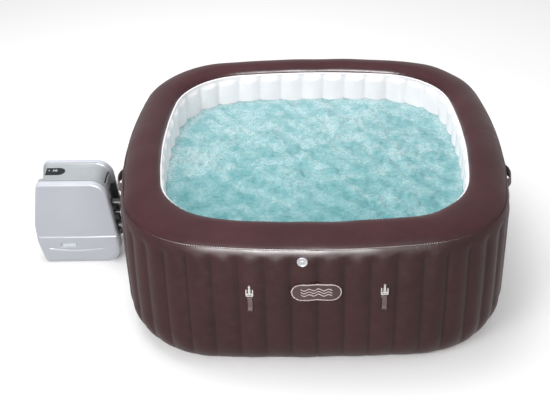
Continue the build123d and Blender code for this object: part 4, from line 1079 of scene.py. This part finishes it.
def make_plate():
    """Blank pale plate in the pocket of the near cover: a rounded slab with a raised rim"""
    low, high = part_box("blank_plate")
    middle = ((low[0] + high[0]) / 2, (low[2] + high[2]) / 2)
    half = ((high[0] - low[0]) / 2, (high[2] - low[2]) / 2)
    face_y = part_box("near_cover")[0][1]
    angle = np.linspace(0, 2 * np.pi, 64, endpoint=False)
    corner = 5.0
    shape_x = np.sign(np.cos(angle)) * np.abs(np.cos(angle)) ** (2 / corner)
    shape_z = np.sign(np.sin(angle)) * np.abs(np.sin(angle)) ** (2 / corner)
    rows = [(0.001, 0.0030), (0.80, 0.0030), (0.90, 0.0024), (1.0, 0.0030), (1.0, 0.0060), (0.001, 0.0060)]
    share = np.array([row[0] for row in rows])
    y = face_y + np.array([row[1] for row in rows])
    x = middle[0] + half[0] * share[:, None] * shape_x
    z = middle[1] + half[1] * share[:, None] * shape_z
    points = np.stack([x, np.broadcast_to(y[:, None], x.shape), z], -1)
    plate = tidy_mesh(grid_object("blank_name_plate", points, closed_columns=True))
    return dress(plate, "mark", "pump", ["blank_plate"])


def middle_shell(name, rows, finish, node, slotted=False):
    """Skin between the side covers along outline rows, its long edges swept up to the covers

    A point = outline at (22 mm - rise), where rise = 44 mm * (1 - sqrt(1 - u^2)) and u grows from 0 to 0.85
    over 20 mm before a flat margin of 24 mm at the near cover, and over the last 26 mm at the far one.
    """
    low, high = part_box("pump_deck")
    front, back = low[1] + 0.0075, high[1] - 0.0012
    by_near = np.linspace(front, front + 0.048, 36)
    between = np.linspace(front + 0.048, back - 0.028, 64)
    by_far = back - 0.028 * (0.5 + 0.5 * np.cos(np.linspace(0, np.pi, 18)))
    y = np.concatenate([by_near[:-1], between[:-1], by_far])
    near = 0.85 * np.clip((front + 0.044 - y) / 0.020, 0, 1)
    far = 0.85 * np.clip((y - back + 0.026) / 0.023, 0, 1)
    rise = 0.0438 * (2 - np.sqrt(1 - near ** 2) - np.sqrt(1 - far ** 2))
    y = np.concatenate([[y[0] - 0.0006, y[0] - 0.0006], y, [y[-1] + 0.0006, y[-1] + 0.0006]])
    rise = np.concatenate([[rise[0] - 0.009, rise[0] - 0.001], rise, [rise[-1] - 0.001, rise[-1] - 0.009]])
    point, outward, place = rows
    y_grid = np.broadcast_to(y[None], (len(point), len(y)))
    push = np.broadcast_to(rise[None], y_grid.shape)
    slot = np.zeros(y_grid.shape)
    if slotted:
        along = np.abs(place - GRIP_PLACE)[:, None] - 0.0065
        across = np.abs(y_grid - 0.117) - 0.060
        slot = 1 - smooth_step(-0.0006, 0.0012, np.maximum(along, across))
    push = push - 0.012 * slot
    x = point[:, 0, None] + outward[:, 0, None] * push
    z = point[:, 1, None] + outward[:, 1, None] * push
    skin = grid_object(name, np.stack([x, y_grid, z], -1), flip=True)
    thicken(skin, 0.003)
    dress(skin, finish, "pump", [node])
    if slotted:
        # the faces inside the grip slot get the painted shade finish
        skin.data.materials.append(MATERIAL["shadow"])
        inside = slot[:-1, :-1] + slot[1:, 1:] + slot[1:, :-1] + slot[:-1, 1:] > 1.2
        skin.data.polygons.foreach_set("material_index", inside.ravel().astype(np.int32))
    return skin


def shell_rows(keep, spacing, dense=None):
    """Points, outward normals and lengths of the shrunk outline where keep(x, z) holds, from left to right"""
    outline = even_curve(pump_outline(DECK_DROP, samples=300), 9000)
    centre = int(np.argmin(outline[:, 1] + 10 * (outline[:, 1] > 0.1)))
    outline = np.roll(outline, -centre, axis=0)[::-1]
    step = np.roll(outline, -1, axis=0) - outline
    normal = np.stack([-step[:, 1], step[:, 0]], -1)
    normal /= np.linalg.norm(normal, axis=1)[:, None]
    length = np.concatenate([[0], np.cumsum(np.linalg.norm(step, axis=1))[:-1]])
    kept = keep(outline[:, 0], outline[:, 1])
    outline, normal, length = outline[kept], normal[kept], length[kept]
    order = np.argsort(length)
    outline, normal, length = outline[order], normal[order], length[order]
    places = np.arange(length[0], length[-1], spacing)
    if dense:
        near = np.arange(dense - 0.011, dense + 0.011, 0.0006)
        places = np.concatenate([places[np.abs(places - dense) > 0.011], near])
    places = np.unique(np.concatenate([places, [length[-1]]]))
    pick = [np.interp(places, length, column) for column in (*outline.T, *normal.T)]
    return np.stack(pick[:2], -1), np.stack(pick[2:], -1), places


GRIP_HEIGHT = 0.449


def grip_place():
    """Length along the shrunk outline of the grip slot, on the side towards the tub"""
    point, _, place = shell_rows(lambda x, z: (x > SPLIT_X) & (z > 0.40), 0.0005)
    return place[np.argmin(np.abs(point[:, 1] - GRIP_HEIGHT) + (point[:, 0] < -1.2))]


GRIP_PLACE = grip_place()


def make_deck():
    """Grey deck over the left side and the top, and the dark rear cover that faces the tub"""
    deck_rows = shell_rows(lambda x, z: (z > UNDERSIDE) & ((x < SPLIT_X) | (z > SPLIT_HEIGHT)),
                           0.006, GRIP_PLACE)
    middle_shell("deck_skin", deck_rows, "deck", "pump_deck", slotted=True)
    rear_rows = shell_rows(lambda x, z: (z > UNDERSIDE) & (x > SPLIT_X) & (z < SPLIT_HEIGHT - 0.0015), 0.008)
    middle_shell("rear_skin", rear_rows, "dark", "rear_cover")


def make_panel_marks():
    """Lit digits of the temperature and a small round lamp, flat on the panel window"""
    low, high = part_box("control_window")
    top = high[2]
    strokes = []
    height, width, line = 0.0165, 0.0095, 0.0026

    def bar(x, y, long_x, long_y):
        points = np.array([[[x - long_x, y - long_y, top + 0.0004], [x + long_x, y - long_y, top + 0.0004]],
                           [[x - long_x, y + long_y, top + 0.0004], [x + long_x, y + long_y, top + 0.0004]]])
        strokes.append(grid_object("stroke", points))

    # each digit has three level bars, top to bottom, then four upright ones; 1 is lit
    levels = [(0, place * height / 2, width / 2, line / 2) for place in (1, 0, -1)]
    uprights = [(across * width / 2, up * height / 4, line / 2, height / 4)
                for up in (1, -1) for across in (-1, 1)]
    lit = {3: (1, 1, 1, 0, 1, 0, 1), 8: (1, 1, 1, 1, 1, 1, 1)}
    centre_y = (low[1] + high[1]) / 2 + 0.010
    for number, centre_x in ((3, low[0] + 0.040), (8, low[0] + 0.055)):
        for flag, (dx, dy, long_x, long_y) in zip(lit[number], levels + uprights):
            if flag:
                bar(centre_x + dx, centre_y + dy, long_x * 0.82 if long_x > long_y else long_x,
                    long_y * 0.82 if long_y > long_x else long_y)
    bar(low[0] + 0.016, centre_y, 0.0030, 0.0045)
    marks = join("panel_digits", strokes)
    thicken(marks, 0.0003)
    return dress(marks, "mark", "pump")


def make_beams():
    """Webs that hold the fluted wall to the liner: one upright sheet behind each weld"""
    count = np.arange(4 * QUARTER_FLUTES)
    length = flute_length(count)
    height = np.linspace(0.06, 0.66, 14)
    height_grid, length_grid = np.meshgrid(height, length, indexing="ij")
    outer, _ = wall_point(length_grid, height_grid, -FLUTE_DEPTH * FLUTE_SHARE - SKIN)
    inner_length = share_to_length(LIP_OUTLINE, length_grid / TOP_OUTLINE.quarter)
    point, normal = LIP_OUTLINE.at(inner_length)
    inner = np.concatenate([point + normal * 0.004, height_grid[..., None]], -1)
    share = np.linspace(0, 1, 5)[:, None, None, None]
    sheets = outer[None] * (1 - share) + inner[None] * share
    points = np.transpose(sheets, (2, 1, 0, 3))
    faces = grid_faces(len(height), 5)
    all_faces = np.concatenate([faces + number * len(height) * 5 for number in range(len(count))])
    beams = mesh_object("wall_webs", points.reshape(-1, 3), all_faces)
    thicken(beams, 0.0015, offset=0)
    return dress(beams, "web", "tub", ["wall_beams"])


def make_all():
    """Build every new piece"""
    make_outer_wall()
    make_rim()
    make_weld_band()
    make_inner_wall()
    make_lip_piping()
    make_water()
    make_badge()
    make_buckle_straps()
    make_handles()
    make_inflation_cap()
    make_cover("near_side_cover", "near_cover", True)
    make_cover("far_side_cover", "far_cover", False)
    make_plate()
    make_deck()
    make_panel_marks()
    make_beams()


# ------------------------------------------------------------------ carried-over nodes

CARRIED = {
    "sheet": ["bottom_sheet"], "floor": ["tub_floor"], "liner": ["bubble_channel"],
    "hose": ["jet_hose", "air_hose"],
    "grey": ["jet_housings", "filter_base", "filter_housing", "blower_housing", "control_box", "pump_base"],
    "white": ["inflation_valve", "blower_fan", "pump_impeller", "middle_union_nut",
              *(f"jet_nozzle_{number}" for number in range(1, 9))],
    "buckle": ["front_left_buckle", "front_right_buckle", "back_left_buckle", "back_right_buckle"],
    "black": ["wall_fittings", "drain_valve", "drain_cap", "upper_union_nut", "lower_union_nut",
              "cable_gland", "power_button", "heat_button", "bubbles_button", "jets_button", "light_button"],
    "dark": ["water_pump", "pump_pipes"], "window": ["control_window"],
    "board": ["display_board"], "rubber": ["rubber_feet"], "steel": ["cover_screws", "heater"],
    "fleece": ["filter_cartridge"],
}


def dress_nodes():
    """Give every carried-over node its finish"""
    for finish, names in CARRIED.items():
        for name in names:
            node = frame["nodes"][name]
            node.data.materials.clear()
            node.data.materials.append(MATERIAL[finish])


# ------------------------------------------------------------------ stage, lights and camera

def make_floor():
    """Pale studio floor, one large plane that glows a little so that it stays near white"""
    size = 30.0
    points = np.array([[[-size, -size, 0], [size, -size, 0]], [[-size, size, 0], [size, size, 0]]], float)
    floor = grid_object("studio_floor", points)
    material, tree = new_material("studio_paper")
    shader = add(tree, "ShaderNodeBsdfPrincipled",
                 {"Base Color": linear("#F4F4F4"), "Roughness": 0.9, "Emission Color": linear("#FFFFFF"),
                  "Emission Strength": 0.12})
    add(tree, "ShaderNodeOutputMaterial", {"Surface": shader})
    floor.data.materials.append(material)
    floor.visible_glossy = False
    floor.visible_diffuse = False


def area_light(name, place, target, size, power, size_y=None):
    """Soft box at a place, facing a target"""
    data = bpy.data.lights.new(name, "AREA")
    data.shape = "RECTANGLE"
    data.size = size
    data.size_y = size_y or size
    data.energy = power
    light = bpy.data.objects.new(name, data)
    light.location = place
    light.rotation_euler = (Vector(target) - Vector(place)).to_track_quat("-Z", "Y").to_euler()
    bpy.context.scene.collection.objects.link(light)
    return light


def make_lights():
    """Overhead, front and right soft boxes, a strip for the highlight and an even pale surround"""
    overhead = area_light("overhead_box", (-0.8, 0.6, 4.6), (0, 0, 0.4), 3.4, 165.0)
    front = area_light("front_box", (-2.6, -4.0, 2.4), (0, -0.6, 0.5), 2.0, 120.0, size_y=1.6)
    strip = area_light("strip_box", (-0.5, -4.8, 2.15), (-0.1, -0.99, 0.73), 2.3, 900.0, size_y=1.7)
    right = area_light("right_box", (4.4, -1.2, 2.6), (0.6, 0, 0.4), 2.4, 25.0)
    # only the strip is mirrored in the vinyl: one long highlight on the shoulder
    for light in (overhead, front, right):
        light.visible_glossy = False
    strip.visible_diffuse = False
    world = bpy.data.worlds.new("surround")
    bpy.context.scene.world = world
    world.use_nodes = True
    background = world.node_tree.nodes["Background"]
    background.inputs["Color"].default_value = linear("#FFFFFF")
    background.inputs["Strength"].default_value = 0.54


def make_camera():
    """Camera above the front, turned a little to the right and rolled by a third of a degree"""
    place = Vector((-0.0521, -5.1285, 3.6222))
    back = Vector((-0.00861, -0.84671, 0.53198)).normalized()
    level_right = Vector((0, 0, 1)).cross(back).normalized()
    level_up = back.cross(level_right)
    roll = 0.006538
    right = level_right * np.cos(roll) - level_up * np.sin(roll)
    up = level_right * np.sin(roll) + level_up * np.cos(roll)
    data = bpy.data.cameras.new("camera")
    data.sensor_width = 36.0
    data.lens = 72.0
    data.shift_x = -0.0714
    data.shift_y = -0.0203
    camera = bpy.data.objects.new("camera", data)
    camera.matrix_world = Matrix((
        (right.x, up.x, back.x, place.x), (right.y, up.y, back.y, place.y), (right.z, up.z, back.z, place.z),
        (0, 0, 0, 1)))
    bpy.context.scene.collection.objects.link(camera)
    bpy.context.scene.camera = camera


make_camera()
make_all()
dress_nodes()
make_floor()
make_lights()
bpy.context.scene.view_settings.view_transform = "Standard"
